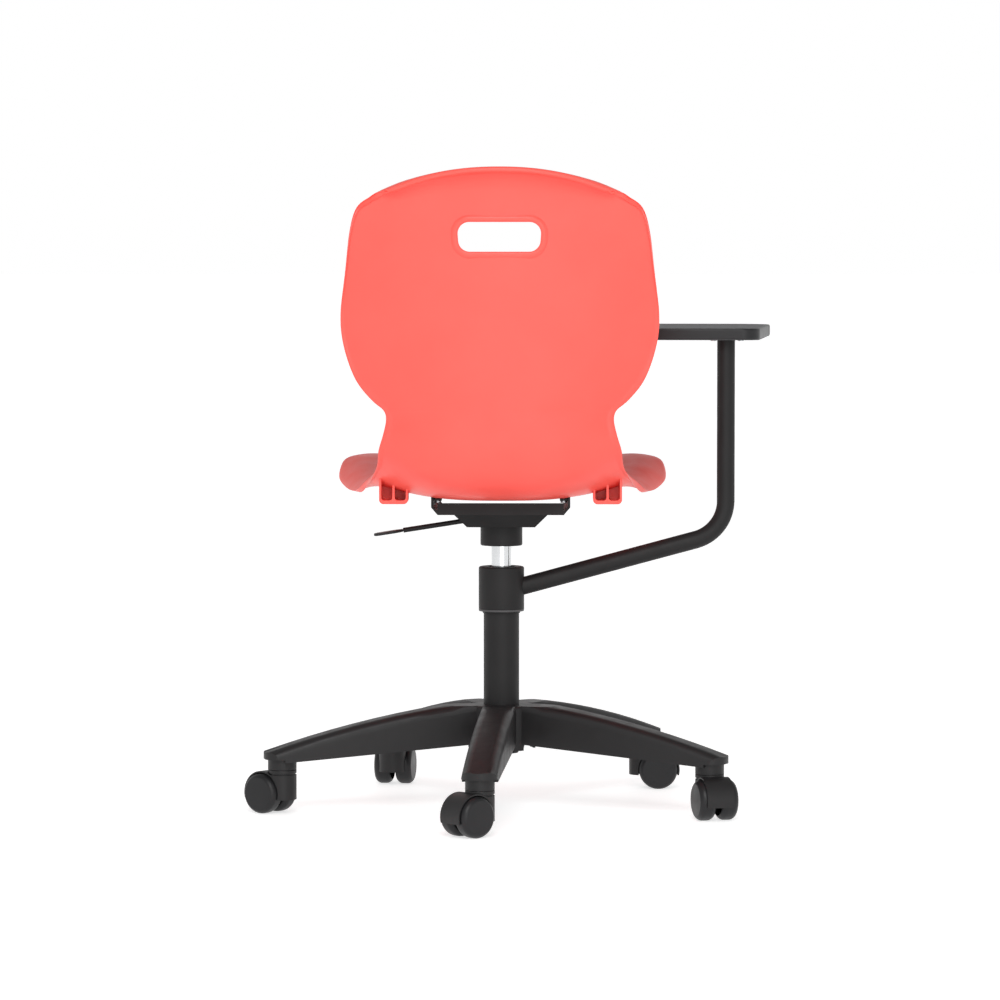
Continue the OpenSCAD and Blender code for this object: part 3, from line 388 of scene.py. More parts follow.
def laminated(name, colour):
    """Textured laminate: dark with a fine pale fleck."""
    material, nodes, links, shader = new_material(name)
    fleck = nodes.new("ShaderNodeValToRGB")
    fleck.color_ramp.elements[0].position = 0.35
    fleck.color_ramp.elements[0].color = (*colour, 1)
    fleck.color_ramp.elements[1].position = 0.8
    fleck.color_ramp.elements[1].color = (*[c * 2.1 for c in colour], 1)
    links.new(mottle(nodes, links, 700, 6), fleck.inputs["Fac"])
    links.new(fleck.outputs["Color"], shader.inputs["Base Color"])
    links.new(mottle(nodes, links, 80, 4, 0.48, 0.58), shader.inputs["Roughness"])
    fill(shader, {"Specular IOR Level": 0.2})
    bumped(nodes, links, shader, mottle(nodes, links, 520, 5), 0.00008, 0.6)
    return material


made_finishes = {}


def finish(slot):
    """The material of one of the record's slots, made once."""
    colours = bpy.context.scene.chair_colours
    makers = {
        "shell_plastic": lambda: plastic("Coral shell", colours.shell, rough=0.36,
                                         grain=1400, depth=0.00003, share=0.03, soft=0.06),
        "black_plastic": lambda: plastic("Satin black plastic", colours.plastic, rough=0.4,
                                         grain=1200, depth=0.00004),
        "base_plastic": lambda: plastic("Grained black base", colours.base, rough=0.44,
                                        grain=1100, depth=0.00006),
        "wheel_plastic": lambda: plastic("Black wheel nylon", colours.wheel, rough=0.4,
                                         grain=1300, depth=0.00004),
        "nylon": lambda: plastic("Grey nylon bush", (0.06, 0.06, 0.062), rough=0.42,
                                 grain=900, depth=0.00003),
        "rubber": lambda: plastic("Buffer rubber", (0.02, 0.02, 0.02), rough=0.7,
                                  grain=700, depth=0.00008),
        "black_steel": lambda: painted("Black powder coat", colours.paint),
        "bright_steel": lambda: metal("Turned steel", colours.steel, rough=0.3,
                                      stretch=(1, 1, 30)),
        "zinc_screw": lambda: metal("Zinc screw", (0.55, 0.56, 0.58), rough=0.34,
                                    stretch=(1, 1, 8)),
        "chrome": lambda: metal("Chromed tube", (0.68, 0.69, 0.70), rough=0.12,
                                stretch=(1, 1, 40)),
        "tablet_laminate": lambda: laminated("Tablet laminate", colours.laminate),
    }
    if slot not in made_finishes:
        made_finishes[slot] = makers[slot]()
    return made_finishes[slot]


# The shell's form: sections from the front lip to the rolled rim of the back.
# Each gives the underside's y and z on the centre line, its half-width, how far its
# edges move in y and z, and how far its edges roll away from the sitter.

def shell_sections():
    s = sizes()
    front = s.wall - s.seat_front
    waist_row = s.waist_height - 12
    rise = s.back_top - waist_row
    wrap = s.back_wrap

    def out(share):
        return s.back_reach + s.back_lean * share

    def up(share):
        return waist_row + rise * share

    def climb(share):
        return s.seat_low + share * s.front_rise

    return [
        (front + 4, climb(0.24), 0.7 * s.seat_half, 22, 2, 0),
        (front, climb(0.6), 0.79 * s.seat_half, 24, 4, 1),
        (front + 7, climb(0.86), 0.86 * s.seat_half, 24, 9, 3),
        (front + 25, climb(1), 0.91 * s.seat_half, 22, 12, 6),
        (front + 63, climb(0.93), 0.98 * s.seat_half, 12, 17, 13),
        (front + 123, climb(0.7), 0.995 * s.seat_half, 2, 16.8, 24),
        (front + 183, climb(0.38), 0.94 * s.seat_half, 0, 18.8, 25),
        (0, s.seat_low + 5.5, 0.872 * s.seat_half, 0, 22.8, 22),
        (50, s.seat_low + 0.5, 0.817 * s.seat_half, 0, 24.8, 6),
        (s.back_reach - 105, s.seat_low, 0.77 * s.seat_half, -2, 32.8, 0),
        (s.back_reach - 60, s.seat_low + 9, 0.73 * s.seat_half, -10, 42.8, 0),
        (s.back_reach - 25, s.seat_low + 32, s.waist_half + 10, -22, 41, 0),
        (s.back_reach - 6, s.seat_low + 68, s.waist_half + 4, -32, 26, 0),
        (out(0), up(0), s.waist_half, -0.78 * wrap, 8, 0),
        (out(0.05), up(0.05), s.waist_half + 4, -0.83 * wrap, 4, 0),
        (out(0.1), up(0.1), 0.81 * s.back_half, -0.87 * wrap, 0, 0),
        (out(0.19), up(0.185), 0.913 * s.back_half, -0.95 * wrap, 0, 0),
        (out(0.33), up(0.32), 0.985 * s.back_half, -wrap, 0, 0),
        (out(0.48), up(0.45), s.back_half, -0.96 * wrap, 0, 0),
        (out(0.67), up(0.605), 0.97 * s.back_half, -0.87 * wrap, 0, 0),
        (out(0.85), up(0.745), 0.94 * s.back_half, -0.75 * wrap, -2, 1),
        (out(1), up(0.86), 0.893 * s.back_half, -0.65 * wrap, -11, 3),
        (out(1) + 0.17 * s.top_roll, up(0.92), 0.81 * s.back_half, -0.6 * wrap, -18, 4),
        (out(1) + 0.41 * s.top_roll, up(0.96), 0.745 * s.back_half, -0.6 * wrap, -23, 4),
        (out(1) + 0.72 * s.top_roll, up(0.978), 0.7 * s.back_half, -0.62 * wrap, -27, 3),
        (out(1) + s.top_roll, up(0.978), 0.67 * s.back_half, -0.64 * wrap, -29, 2),
    ]


class ShellForm:
    """The shell's underside as a surface over u, across, and s, along."""

    # Where across the width the edge starts to roll
    roll_start = 0.8
    # Power of the edges' lift, what the seat adds to it, and over which sections the
    # addition comes and goes, each as a start and a length
    lift_power = 2.2
    seat_power = 0.7
    seat_comes = (5, 2.5)
    seat_goes = (11, 3.5)

    def __init__(self):
        self.sections = shell_sections()
        self.last = len(self.sections) - 1

    def flatness(self, s):
        """How long the middle stays flat before the edges lift: most under the seat."""
        come, coming = self.seat_comes
        go, going = self.seat_goes
        return self.lift_power + (self.seat_power * smooth_step((s - come) / coming)
                                  * (1 - smooth_step((s - go) / going)))

    def section(self, s):
        """The section at s, by a spline through the four nearest."""
        i = min(int(s), self.last - 1)
        t = s - i
        rows = [self.sections[max(i - 1, 0)], self.sections[i], self.sections[i + 1],
                self.sections[min(i + 2, self.last)]]
        return [0.5 * (2 * b + (c - a) * t + (2 * a - 5 * b + 4 * c - d) * t * t
                       + (3 * b - a - 3 * c + d) * t ** 3) for a, b, c, d in zip(*rows)]

    def point(self, u, s):
        y, z, half, edge_y, edge_z, roll = self.section(s)
        step = 0.02
        before = self.section(max(s - step, 0))
        after = self.section(min(s + step, self.last))
        run = Vector((after[0] - before[0], after[1] - before[1])).normalized()
        lift = abs(u) ** self.flatness(s)
        curl = roll * max(0, (abs(u) - self.roll_start) / (1 - self.roll_start)) ** 2
        return Vector((u * half, y + edge_y * lift + run.y * curl,
                       z + edge_z * lift - run.x * curl))

    def normal(self, u, s):
        step = 0.03
        across = self.point(min(u + step, 1), s) - self.point(max(u - step, -1), s)
        along = self.point(u, min(s + step, self.last)) - self.point(u, max(s - step, 0))
        return across.cross(along).normalized()


# Depth of the rounded corners in sections, and where they start across the width
FRONT_CORNER = 1.5
TOP_CORNER = 1.3
CORNER_START = 0.86

# Rows of the mesh: steps near each end, and the spacing between, in sections
END_STEPS = [0, 0.02, 0.07, 0.16, 0.3, 0.5, 0.75]
ROW_STEP = 0.2

# The edge bead is even up to here and then fades over this length
BEAD_EVEN = 4
BEAD_FADE = 9


def corner_share(u):
    part = max(0, (abs(u) - CORNER_START) / (1 - CORNER_START))
    return 1 - math.sqrt(max(0, 1 - part * part))


def along_rows(last):
    """Steps along the shell, close together at both ends."""
    count = round((last - 2) / ROW_STEP)
    middle = [1 + (last - 2) * k / count for k in range(count + 1)]
    return END_STEPS + middle + [last - e for e in reversed(END_STEPS)]


def edge_distance(line):
    """Distance of each point of a line from the nearer end of the line."""
    total = [0]
    for a, b in zip(line, line[1:]):
        total.append(total[-1] + (b - a).length)
    return [min(d, total[-1] - d) for d in total]


def shell_grid(name, form):
    """A grid primitive laid on the middle of the shell's wall, with edge distances."""
    s = sizes()
    half = s.columns
    rows = along_rows(form.last)
    columns = [math.sin(math.pi / 2 * k / half) for k in range(-half, half + 1)]
    clear_selection()
    bpy.ops.mesh.primitive_grid_add(x_subdivisions=len(columns) - 1,
                                    y_subdivisions=len(rows) - 1, size=2)
    piece = started(name)
    places = []
    normals = []
    for row in rows:
        for u in columns:
            trim = corner_share(u)
            first = FRONT_CORNER * trim
            last = form.last - TOP_CORNER * trim
            along = first + (last - first) * row / form.last
            normal = form.normal(u, along)
            places.append(form.point(u, along) + normal * s.wall / 2)
            normals.append(normal)
    width = len(columns)
    across = [edge_distance(places[r * width:(r + 1) * width]) for r in range(len(rows))]
    down = [edge_distance(places[c::width]) for c in range(width)]
    distances = []
    for r in range(len(rows)):
        for c in range(width):
            # The smaller of the two distances, rounded off where they are alike
            a = max(across[r][c], 1e-6)
            b = max(down[c][r], 1e-6)
            distances.append((a ** -4 + b ** -4) ** -0.25)
    if len(piece.data.vertices) != len(places):
        raise RuntimeError("the grid primitive has another number of points")
    for vertex, place, normal, distance in zip(piece.data.vertices, places, normals,
                                               distances):
        vertex.co = (place - normal * bead_share(distance, s.bead) / 2) * MM
    return piece, distances


def smooth_step(x):
    x = min(1, max(0, x))
    return x * x * (3 - 2 * x)


def bead_share(distance, bead):
    """Extra thickness near the edge, which fades towards the middle."""
    return bead * (1 - smooth_step((distance - BEAD_EVEN) / BEAD_FADE))


def wall_share(distance, wall, bead):
    """Half of the wall at a distance from the edge, with a round rim."""
    half = (wall + bead_share(distance, bead)) / 2
    part = min(1, distance / half)
    return half * math.sqrt(max(0, 1 - (1 - part) ** 2))


def rounded_outline(points, radii, steps):
    """An outline with arcs at its corners, as a list of points."""
    outline = []
    count = len(points)
    for i, radius in enumerate(radii):
        here = Vector(points[i])
        to_last = (Vector(points[i - 1]) - here).normalized()
        to_next = (Vector(points[(i + 1) % count]) - here).normalized()
        half = to_last.angle(to_next) / 2
        centre = here + (to_last + to_next).normalized() * radius / math.sin(half)
        start = here + to_last * radius / math.tan(half) - centre
        sweep = start.angle_signed(here + to_next * radius / math.tan(half) - centre)
        for k in range(steps + 1):
            turn = -sweep * k / steps
            outline.append(centre + Vector((
                start.x * math.cos(turn) - start.y * math.sin(turn),
                start.x * math.sin(turn) + start.y * math.cos(turn))))
    return outline


def in_metres(outline):
    return [(a * MM, b * MM) for a, b in outline]


def slot_outline(grow):
    """The hand-hold's outline in x and z, counter-clockwise, widened all round."""
    s = sizes()
    x = s.slot_width / 2
    z = s.slot_height / 2
    middle = s.back_top - s.slot_drop
    low_x = x - s.slot_taper
    corners = [(low_x, -z), (x, z), (-x, z), (-low_x, -z)]
    outline = rounded_outline(corners, [s.slot_corner] * 4, 8)
    ring = []
    for k, p in enumerate(outline):
        run = outline[(k + 1) % len(outline)] - outline[k - 1]
        out = Vector((run.y, -run.x)).normalized()
        place = p + out * grow
        ring.append((place.x, place.y + middle))
    return ring


def prism(name, outline, low, high, axis):
    """A closed prism over an outline, along y or z, from a filled circle primitive."""
    clear_selection()
    bpy.ops.mesh.primitive_circle_add(vertices=len(outline), radius=1, fill_type="NGON")
    piece = started(name)
    for vertex, (a, b) in zip(piece.data.vertices, outline):
        vertex.co = (a, low, b) if axis == "y" else (a, b, low)
    step = (0, high - low, 0) if axis == "y" else (0, 0, high - low)
    edit_all(piece)
    draw_out(step)
    end_edit()
    return piece


class CHAIR_OT_shell(bpy.types.Operator):
    """Moulds the one-piece seat shell with its rolled rim and hand-hold"""

    bl_idname = "chair.shell"
    bl_label = "Seat shell"

    def execute(self, context):
        s = sizes()
        form = ShellForm()
        piece, distances = shell_grid("seat_shell_moulding", form)
        thickest = (s.wall + s.bead) / 2
        group = piece.vertex_groups.new(name="wall")
        for k, distance in enumerate(distances):
            group.add([k], max(1e-5, wall_share(distance, s.wall, s.bead) / thickest),
                      "REPLACE")
        modify(piece, "SOLIDIFY", thickness=2 * thickest * MM, offset=0,
               vertex_group="wall", use_quality_normals=True)
        merged(piece, 2e-5)
        hole = prism("slot_cutter", in_metres(slot_outline(0)), 0.1, 0.4, "y")
        self.border(piece)
        cut(piece, hole)
        smoothed(piece, 50)
        seated(piece, "seat", "shell_plastic", "shell")
        return {"FINISHED"}

    def border(self, shell):
        """Raised ring round the hand-hold, from a torus that follows the wall."""
        s = sizes()
        lip = s.border_width
        top = s.border_height
        clear = 300
        # The ring's profile: how far from the slot, how high, and on which face
        order = [(-0.5, 0.2, "out"), (0.1, 1.2, "out"), (1.2, 0.84 * top, "out"),
                 (0.33 * lip, top, "out"), (0.55 * lip, 0.95 * top, "out"),
                 (0.74 * lip, 0.66 * top, "out"), (0.88 * lip, 0.22 * top, "out"),
                 (lip, -0.15, "out"), (lip, -1.5, "out"), (4, -2, "out"), (4, -1.5, "in"),
                 (4, -0.2, "in"), (2.4, 0.25, "in"), (0.6, 0.15, "in"), (-0.3, -0.5, "in"),
                 (-0.5, -1.4, "in")]
        paths = [slot_outline(w) for w, _, _ in order]
        count = len(paths[0])
        clear_selection()
        bpy.ops.mesh.primitive_torus_add(major_segments=count, minor_segments=len(order),
                                         major_radius=1, minor_radius=0.2)
        ring = started("hand_hold_border")
        for i in range(count):
            for j, (_, height, side) in enumerate(order):
                x, z = paths[j][i]
                reach = 1.0 if side == "out" else -1.0
                start = Vector((x, s.back_reach + clear * reach, z)) * MM
                hit, place, _, _ = shell.ray_cast(start, Vector((0, -reach, 0)))
                if not hit:
                    raise RuntimeError("the hand-hold's border misses the shell")
                vertex = ring.data.vertices[i * len(order) + j]
                vertex.co = (x * MM, place.y + reach * height * MM, z * MM)
        merged(ring, 1e-6)
        smoothed(ring, 60)
        seated(ring, "seat", "shell_plastic")


# The seat's part of the shell ends below this height, and the cutter is this tall
SEAT_TOP = 0.56
CUTTER_HEIGHT = 0.15


def under_shell_cutter(form, low_y, high_y):
    """A block over the middle of the wall, to end what stands under the seat in it."""
    piece, _ = shell_grid("wall_cutter", form)
    edit_all(piece)
    mesh = bmesh.from_edit_mesh(piece.data)
    away = [f for f in mesh.faces
            if not (low_y < f.calc_center_median().y < high_y
                    and f.calc_center_median().z < SEAT_TOP)]
    bmesh.ops.delete(mesh, geom=away, context="FACES")
    bmesh.update_edit_mesh(piece.data)
    draw_out((0, 0, CUTTER_HEIGHT))
    end_edit()
    return piece


class CHAIR_OT_clips(bpy.types.Operator):
    """Adds the ribbed clip blocks and screw bosses under the seat"""

    bl_idname = "chair.clips"
    bl_label = "Clip blocks and bosses"

    width = 40
    depth = 42
    place_x = 148
    place_y = 86
    low_z = 434
    wall = 3
    floor = 5
    # The bosses, in metres: their radius and height, a screw's half-width, and how far
    # its tip stands above the ear
    boss_radius = 0.0062
    boss_height = 0.05
    screw_half = 0.0045
    tip = 0.005

    def execute(self, context):
        form = ShellForm()
        for side, word in ((-1, "left"), (1, "right")):
            block = self.block("clip_block_" + word, side)
            cut(block, under_shell_cutter(form, 0.02, 0.16))
            smoothed(block, 35)
            seated(block, "seat", "shell_plastic")
        low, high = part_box("shell_screws")
        for number, (x, y) in enumerate(((low.x, low.y), (high.x, low.y),
                                         (low.x, high.y), (high.x, high.y)), 1):
            x -= math.copysign(self.screw_half, x)
            y -= math.copysign(self.screw_half, y)
            clear_selection()
            middle = self.ear_height(number) + self.boss_height / 2
            bpy.ops.mesh.primitive_cylinder_add(vertices=40, radius=self.boss_radius,
                                                depth=self.boss_height,
                                                location=(x, y, middle))
            boss = started(f"screw_boss_{number}")
            modify(boss, "BEVEL", width=0.0008, segments=2, limit_method="ANGLE")
            cut(boss, under_shell_cutter(form, -0.2, 0.16))
            smoothed(boss, 35)
            seated(boss, "seat", "shell_plastic")
        return {"FINISHED"}

    def ear_height(self, number):
        """Top of the seat plate's ear under a boss, from the tip of its screw."""
        low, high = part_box("shell_screws")
        vertices = frame["nodes"]["shell_screws"].data.vertices
        front = number < 3
        limit = (low.y + high.y) / 2
        tops = [v.co.z for v in vertices if (v.co.y < limit) == front]
        return max(tops) - self.tip

    def block(self, name, side):
        """A block with two pockets that are open at the rear, before its top is cut."""
        outline = self.upright(side * self.place_x, self.width, self.low_z, 50, 6, 6)
        y0 = (self.place_y - self.depth / 2) * MM
        y1 = (self.place_y + self.depth / 2) * MM
        block = prism(name, in_metres(outline), y0, y1, "y")
        softened(block, 0.0009)
        pocket = (self.width - 3 * self.wall) / 2
        for step in (-1, 1):
            middle = side * self.place_x + step * (pocket + self.wall) / 2
            hollow = self.upright(middle, pocket, self.low_z + self.floor, 60, 4, 5)
            cut(block, prism("pocket", in_metres(hollow), y0 + self.wall * MM, y1 + 0.01,
                             "y"))
        return block

    def upright(self, middle, width, low, height, radius, steps):
        """A tall outline in x and z with round lower corners."""
        left = middle - width / 2
        right = middle + width / 2
        corners = [(left, low + height), (left, low), (right, low), (right, low + height)]
        return rounded_outline(corners, [1, radius, radius, 1], steps)


class CHAIR_OT_tablet(bpy.types.Operator):
    """Makes the writing tablet's laminated board and its edge band"""

    bl_idname = "chair.tablet"
    bl_label = "Writing tablet"

    # In metres: how far the photo's board goes below the solid's, and how far the band
    # stands above the face; in millimetres: how deep the band goes in
    drop = 0.0016
    lip = 0.0002
    band_depth = 3.2
    corner_radii = [26, 70, 60, 70, 90, 26]

    def execute(self, context):
        t = context.scene.chair_tablet
        low = BOARD_LOW.z - self.drop
        high = BOARD_HIGH.z
        board = prism("tablet_board_laminate", self.outline(t, t.band), low,
                      high - self.lip, "z")
        softened(board, 0.0006)
        smoothed(board, 30)
        modify(board, "WEIGHTED_NORMAL", keep_sharp=True)
        seated(board, "tablet", "tablet_laminate", "tablet_board")
        band = prism("tablet_edge_band", self.outline(t, 0), low + self.lip, high, "z")
        softened(band, 0.0028, segments=4)
        cut(band, prism("band_cutter", self.outline(t, self.band_depth), low - 0.01,
                        high + 0.01, "z"))
        smoothed(band, 30)
        modify(band, "WEIGHTED_NORMAL", keep_sharp=True)
        seated(band, "tablet", "black_plastic")
        return {"FINISHED"}

    def outline(self, t, inset):
        """The board's outline on the floor plane, in metres."""
        back = -t.overhang + inset
        front = t.length - t.overhang - inset
        outer = -t.outset + inset
        inner = t.width - t.outset - inset
        step = t.rear_width - t.outset - inset
        corners = [(back, outer), (front, outer), (front, inner),
                   (0.56 * t.length - t.overhang, inner),
                   (0.24 * t.length - t.overhang, step), (back, step)]
        points = rounded_outline(corners, self.corner_radii, 14)
        turn = math.radians(-90 - t.turn)
        return [((p.x * math.cos(turn) - p.y * math.sin(turn) - t.reach) * MM,
                 (p.x * math.sin(turn) + p.y * math.cos(turn)) * MM) for p in points]


# Small moves of copied points, which bring the edges of steel parts to the photo's.
# The upright stands further in, and the board's plate higher, than in the solids.

TABLET_INSET = 0.0028
PLATE_RISE = 0.0012
# Below this the seat plate's points belong to its underside, and past this to its
# rear flange
PLATE_UNDERSIDE = 0.4225
REAR_FLANGE = 0.0868
# Where the cup's sides start to slant in the solid and in the photo, the depth of its
# slanted part in the photo and in the solid, and how much wider it is
CUP_KNEE = 0.413
CUP_KNEE_PHOTO = 0.4172
CUP_DEPTHS = (18.2, 18)
CUP_WIDENING = 1.02
SLEEVE_END = 0.374
# The arm leaves the collar at this x and runs out to the upright over these lengths
ARM_START = 0.032
ARM_RUN = 0.25
ARM_CLIMB_RUN = 0.286
RING_TOP = 0.2777
RING_RADIUS = 0.0264


def plate_point(p):
    """The plate hangs a little lower, with a taller rear flange."""
    if p.z < PLATE_UNDERSIDE:
        p.z -= 0.001
    elif p.y > REAR_FLANGE:
        p.z += 0.0005
    return p


def cup_point(p):
    """The cup is shallower, and its sides slant from just under the plate."""
    deep, deep_solid = CUP_DEPTHS
    if p.z < CUP_KNEE + 0.0002:
        p.z = CUP_KNEE_PHOTO - (CUP_KNEE - p.z) * deep / deep_solid
        p.x *= CUP_WIDENING
    return p


def sleeve_point(p):
    """The sleeve ends a little higher."""
    if p.z < SLEEVE_END:
        p.z += 0.0015
    return p


def mount_point(p):
    """The plate and its screws go with the upright and the board."""
    p.x += TABLET_INSET
    p.z += PLATE_RISE
    return p


def arm_point(p):
    """The arm climbs a little more steeply to an upright a little further in."""
    out = smooth_step((-p.x - ARM_START) / ARM_RUN)
    climb = min(1, max(0, (-p.x - ARM_START) / ARM_CLIMB_RUN)) * 0.0032 + 0.0005
    low = 1 - smooth_step((p.z - 0.42) / 0.14)
    p.x += TABLET_INSET * out
    p.z += climb * low + PLATE_RISE * smooth_step((p.z - 0.55) / 0.1)
    return p


def stop_point(p):
    """A plain retaining ring, half as tall and less wide."""
    reach = math.hypot(p.x, p.y)
    if reach > RING_RADIUS:
        p.x *= RING_RADIUS / reach
        p.y *= RING_RADIUS / reach
    p.z = RING_TOP - (RING_TOP - p.z) / 2
    return p


class CHAIR_OT_frame(bpy.types.Operator):
    """Makes the steel parts that hold the shell and the tablet"""

    bl_idname = "chair.frame"
    bl_label = "Steel parts"

    def execute(self, context):
        for node, name, width, body, move in (
                ("mechanism_housing", "mechanism_cup", 0.0010, "seat", cup_point),
                ("taper_sleeve", "taper_sleeve_turned", 0.0006, "seat", sleeve_point),
                ("lever_rod", "lever_rod_bar", 0.0003, "lever", None),
                ("mounting_plate", "tablet_mounting_plate", 0.0006, "tablet", mount_point),
                ("tablet_collar", "tablet_collar_ring", 0.0006, "tablet", None),
                ("arm_tube", "tablet_arm_tube", 0.0003, "tablet", arm_point),
                ("stop_ring", "collar_stop_ring", 0.0003, "base", stop_point),
                ("outer_tube", "column_outer_tube", 0.0005, "base", None)):
            rounded_copy(node, name, width, body, "black_steel", move=move)
        rounded_copy("tablet_screws", "tablet_screw_set", 0.0002, "tablet", "zinc_screw",
                     move=mount_point)
        # The photo shows daylight between the shell and the plate, so no front flange
        clear_selection()
        bpy.ops.mesh.primitive_cube_add(size=1, location=(0, -0.1395, 0.432),
                                        scale=(0.186, 0.0051, 0.02))
        rounded_copy("seat_plate", "seat_plate_pressing", 0.0010, "seat", "black_steel",
                     move=plate_point, cutter=started("front_flange_cutter"))
        rounded_copy("lever_paddle", "lever_paddle_moulding", 0.0014, "lever",
                     "black_plastic", segments=3)
        rounded_copy("gas_cylinder", "gas_cylinder_tube", 0.0004, "seat", "chrome")
        return {"FINISHED"}


class CHAIR_OT_base(bpy.types.Operator):
    """Makes the five-leg base"""

    bl_idname = "chair.base"
    bl_label = "Five-leg base"

    def execute(self, context):
        rounded_copy("star_base", "five_leg_base_moulding", 0.0010, "base", "base_plastic")
        return {"FINISHED"}


class CHAIR_OT_castors(bpy.types.Operator):
    """Makes the castors' hoods and wheels"""

    bl_idname = "chair.castors"
    bl_label = "Castors"

    # In metres: a wheel's radius, half of the gap between two wheels, the radius of the
    # tread's inner edge in the solid and in the photo, and the radius of the hollow
    radius = 0.028
    gap = 0.0032
    cad_edge = 0.005
    edge = 0.009
    hollow = 0.022

    def tread(self, joint_name):
        """A rounder inner edge for a wheel's tread, as in the photo."""
        joint = next(j for j in frame["joints"] if j["name"] == joint_name)
        middle = Vector(joint["pos_m"])
        axis = Vector(joint["axis"]).normalized()

        def move(p):
            reach = (p - middle).dot(axis)
            deep = abs(reach) - self.gap
            spoke = p - middle - axis * reach
            far = spoke.length
            if far < self.hollow - 0.0005 or deep > self.cad_edge + 0.0001:
                return p
            turn = math.atan2(deep - self.cad_edge, far - self.radius + self.cad_edge)
            turn = max(turn, -math.acos((self.hollow - self.radius + self.edge) / self.edge))
            far = self.radius - self.edge + self.edge * math.cos(turn)
            deep = self.edge + self.edge * math.sin(turn)
            return (middle + spoke.normalized() * far
                    + axis * math.copysign(deep + self.gap, reach))

        return move

    def execute(self, context):
        for k in CASTORS:
            rounded_copy(f"castor_{k}_hood", f"castor_{k}_hood_moulding", 0.0008,
                         f"castor_{k}", "base_plastic")
            for side in ("left", "right"):
                rounded_copy(f"castor_{k}_wheel_{side}", f"castor_{k}_{side}_roller", 0.0005,
                             f"castor_{k}_{side}", "wheel_plastic",
                             move=self.tread(f"castor_{k}_{side}_roll"))
        return {"FINISHED"}


class CHAIR_OT_finishes(bpy.types.Operator):
    """Gives every remaining CAD node the material of its slot"""

    bl_idname = "chair.finishes"
    bl_label = "Finishes"

    def execute(self, context):
        slots = {row["node"]: row["material_slot"] for row in frame["record"]["subparts"]}
        for node, piece in frame["nodes"].items():
            piece.data.materials.clear()
            piece.data.materials.append(finish(slots[node]))
        return {"FINISHED"}


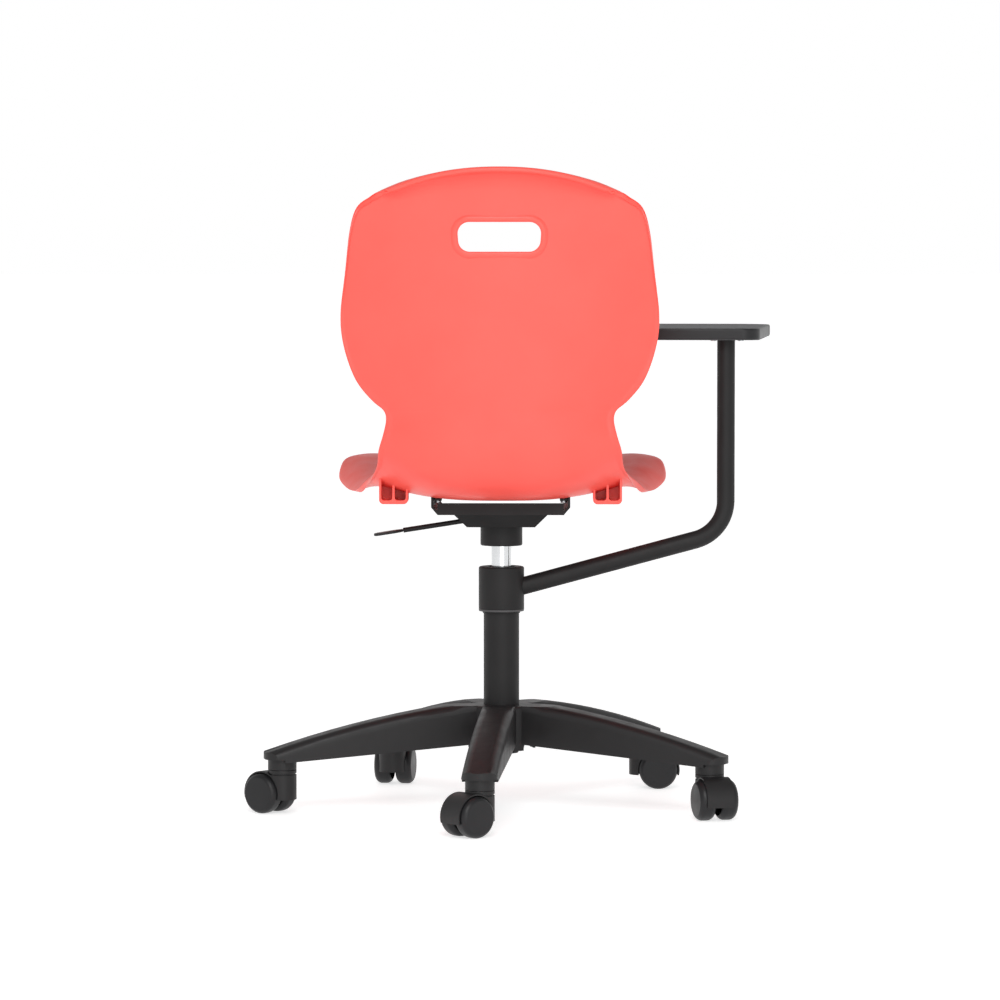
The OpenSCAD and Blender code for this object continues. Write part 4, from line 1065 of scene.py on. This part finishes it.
class CHAIR_OT_stage(bpy.types.Operator):
    """Sets up the pale floor, the soft lights and the camera"""

    bl_idname = "chair.stage"
    bl_label = "Studio"

    def execute(self, context):
        studio = context.scene.chair_studio
        clear_selection()
        bpy.ops.mesh.primitive_plane_add(size=400, location=(0, 0, 0))
        floor = started("studio_floor")
        material, nodes, links, shader = new_material("Pale floor")
        shaded(nodes, links, shader, (0.72, 0.72, 0.72), 0.01, mottle(nodes, links, 2, 2))
        fill(shader, {"Roughness": 0.6, "Emission Color": (1, 1, 1, 1),
                      "Emission Strength": 0.62})
        floor.data.materials.append(material)
        world = bpy.data.worlds.new("White room")
        world.use_nodes = True
        sky = next(n for n in world.node_tree.nodes if n.type == "BACKGROUND")
        fill(sky, {"Color": (1, 1, 1, 1)})
        self.dim_ceiling(world.node_tree, sky, studio.daylight)
        context.scene.world = world
        for name, place, size, power in (
                ("Key lamp", (0.05, 3.7, 2.8), 1.6, studio.key),
                ("Fill lamp", (-1.3, 4.2, 1.0), 1.8, studio.key * 0.2),
                ("Low lamp", (0, 2.4, 0.15), 1.2, studio.key * 0.04)):
            lamp = bpy.data.lights.new(name, "AREA")
            lamp.size = size
            lamp.energy = power
            holder = bpy.data.objects.new(name, lamp)
            holder.location = place
            aim = Vector((0, 0, 0.5)) - Vector(place)
            holder.rotation_euler = aim.to_track_quat("-Z", "Y").to_euler()
            context.scene.collection.objects.link(holder)
        turn = math.radians(studio.turn)
        lens = bpy.data.cameras.new("Photo camera")
        lens.lens = studio.lens
        lens.sensor_width = 36
        lens.clip_end = 500
        camera = bpy.data.objects.new("Photo camera", lens)
        camera.location = (-studio.distance * math.sin(turn) + studio.offset * math.cos(turn),
                           studio.distance * math.cos(turn) + studio.offset * math.sin(turn),
                           studio.height)
        camera.rotation_euler = (math.radians(90 - studio.pitch), 0, math.pi + turn)
        context.scene.collection.objects.link(camera)
        context.scene.camera = camera
        context.scene.view_settings.view_transform = "Standard"
        return {"FINISHED"}

    def dim_ceiling(self, tree, sky, daylight):
        """White walls all round and a darker ceiling, as over a product table."""
        place = tree.nodes.new("ShaderNodeTexCoord")
        split = tree.nodes.new("ShaderNodeSeparateXYZ")
        fade = tree.nodes.new("ShaderNodeMapRange")
        fill(fade, {"From Min": 0.1, "From Max": 0.7, "To Min": daylight,
                    "To Max": 0.4 * daylight})
        tree.links.new(place.outputs["Generated"], split.inputs["Vector"])
        tree.links.new(split.outputs["Z"], fade.inputs["Value"])
        tree.links.new(fade.outputs["Result"], sky.inputs["Strength"])


class CHAIR_PT_sidebar(bpy.types.Panel):
    """Lists the chair's sizes and building steps"""

    bl_idname = "CHAIR_PT_sidebar"
    bl_label = "Tablet arm chair"
    bl_space_type = "VIEW_3D"
    bl_region_type = "UI"
    bl_category = "Chair"

    def draw(self, context):
        for group in ("chair_shell", "chair_tablet", "chair_colours", "chair_studio"):
            settings = getattr(context.scene, group)
            column = self.layout.column(align=True)
            for name in settings.__annotations__:
                column.prop(settings, name)
        for step in STEPS:
            self.layout.operator(step.bl_idname)


GROUPS = {"chair_shell": ShellSizes, "chair_tablet": TabletSizes,
          "chair_colours": ChairColours, "chair_studio": StudioSizes}
STEPS = (CHAIR_OT_finishes, CHAIR_OT_shell, CHAIR_OT_clips, CHAIR_OT_tablet, CHAIR_OT_frame,
         CHAIR_OT_base, CHAIR_OT_castors, CHAIR_OT_stage)


def register():
    for cls in (*GROUPS.values(), *STEPS, CHAIR_PT_sidebar):
        bpy.utils.register_class(cls)
    for name, cls in GROUPS.items():
        setattr(bpy.types.Scene, name, PointerProperty(type=cls))


def unregister():
    for name in GROUPS:
        delattr(bpy.types.Scene, name)
    for cls in reversed((*GROUPS.values(), *STEPS, CHAIR_PT_sidebar)):
        bpy.utils.unregister_class(cls)


def main():
    register()
    for step in STEPS:
        group, name = step.bl_idname.split(".")
        getattr(getattr(bpy.ops, group), name)()


if __name__ == "__main__":
    main()
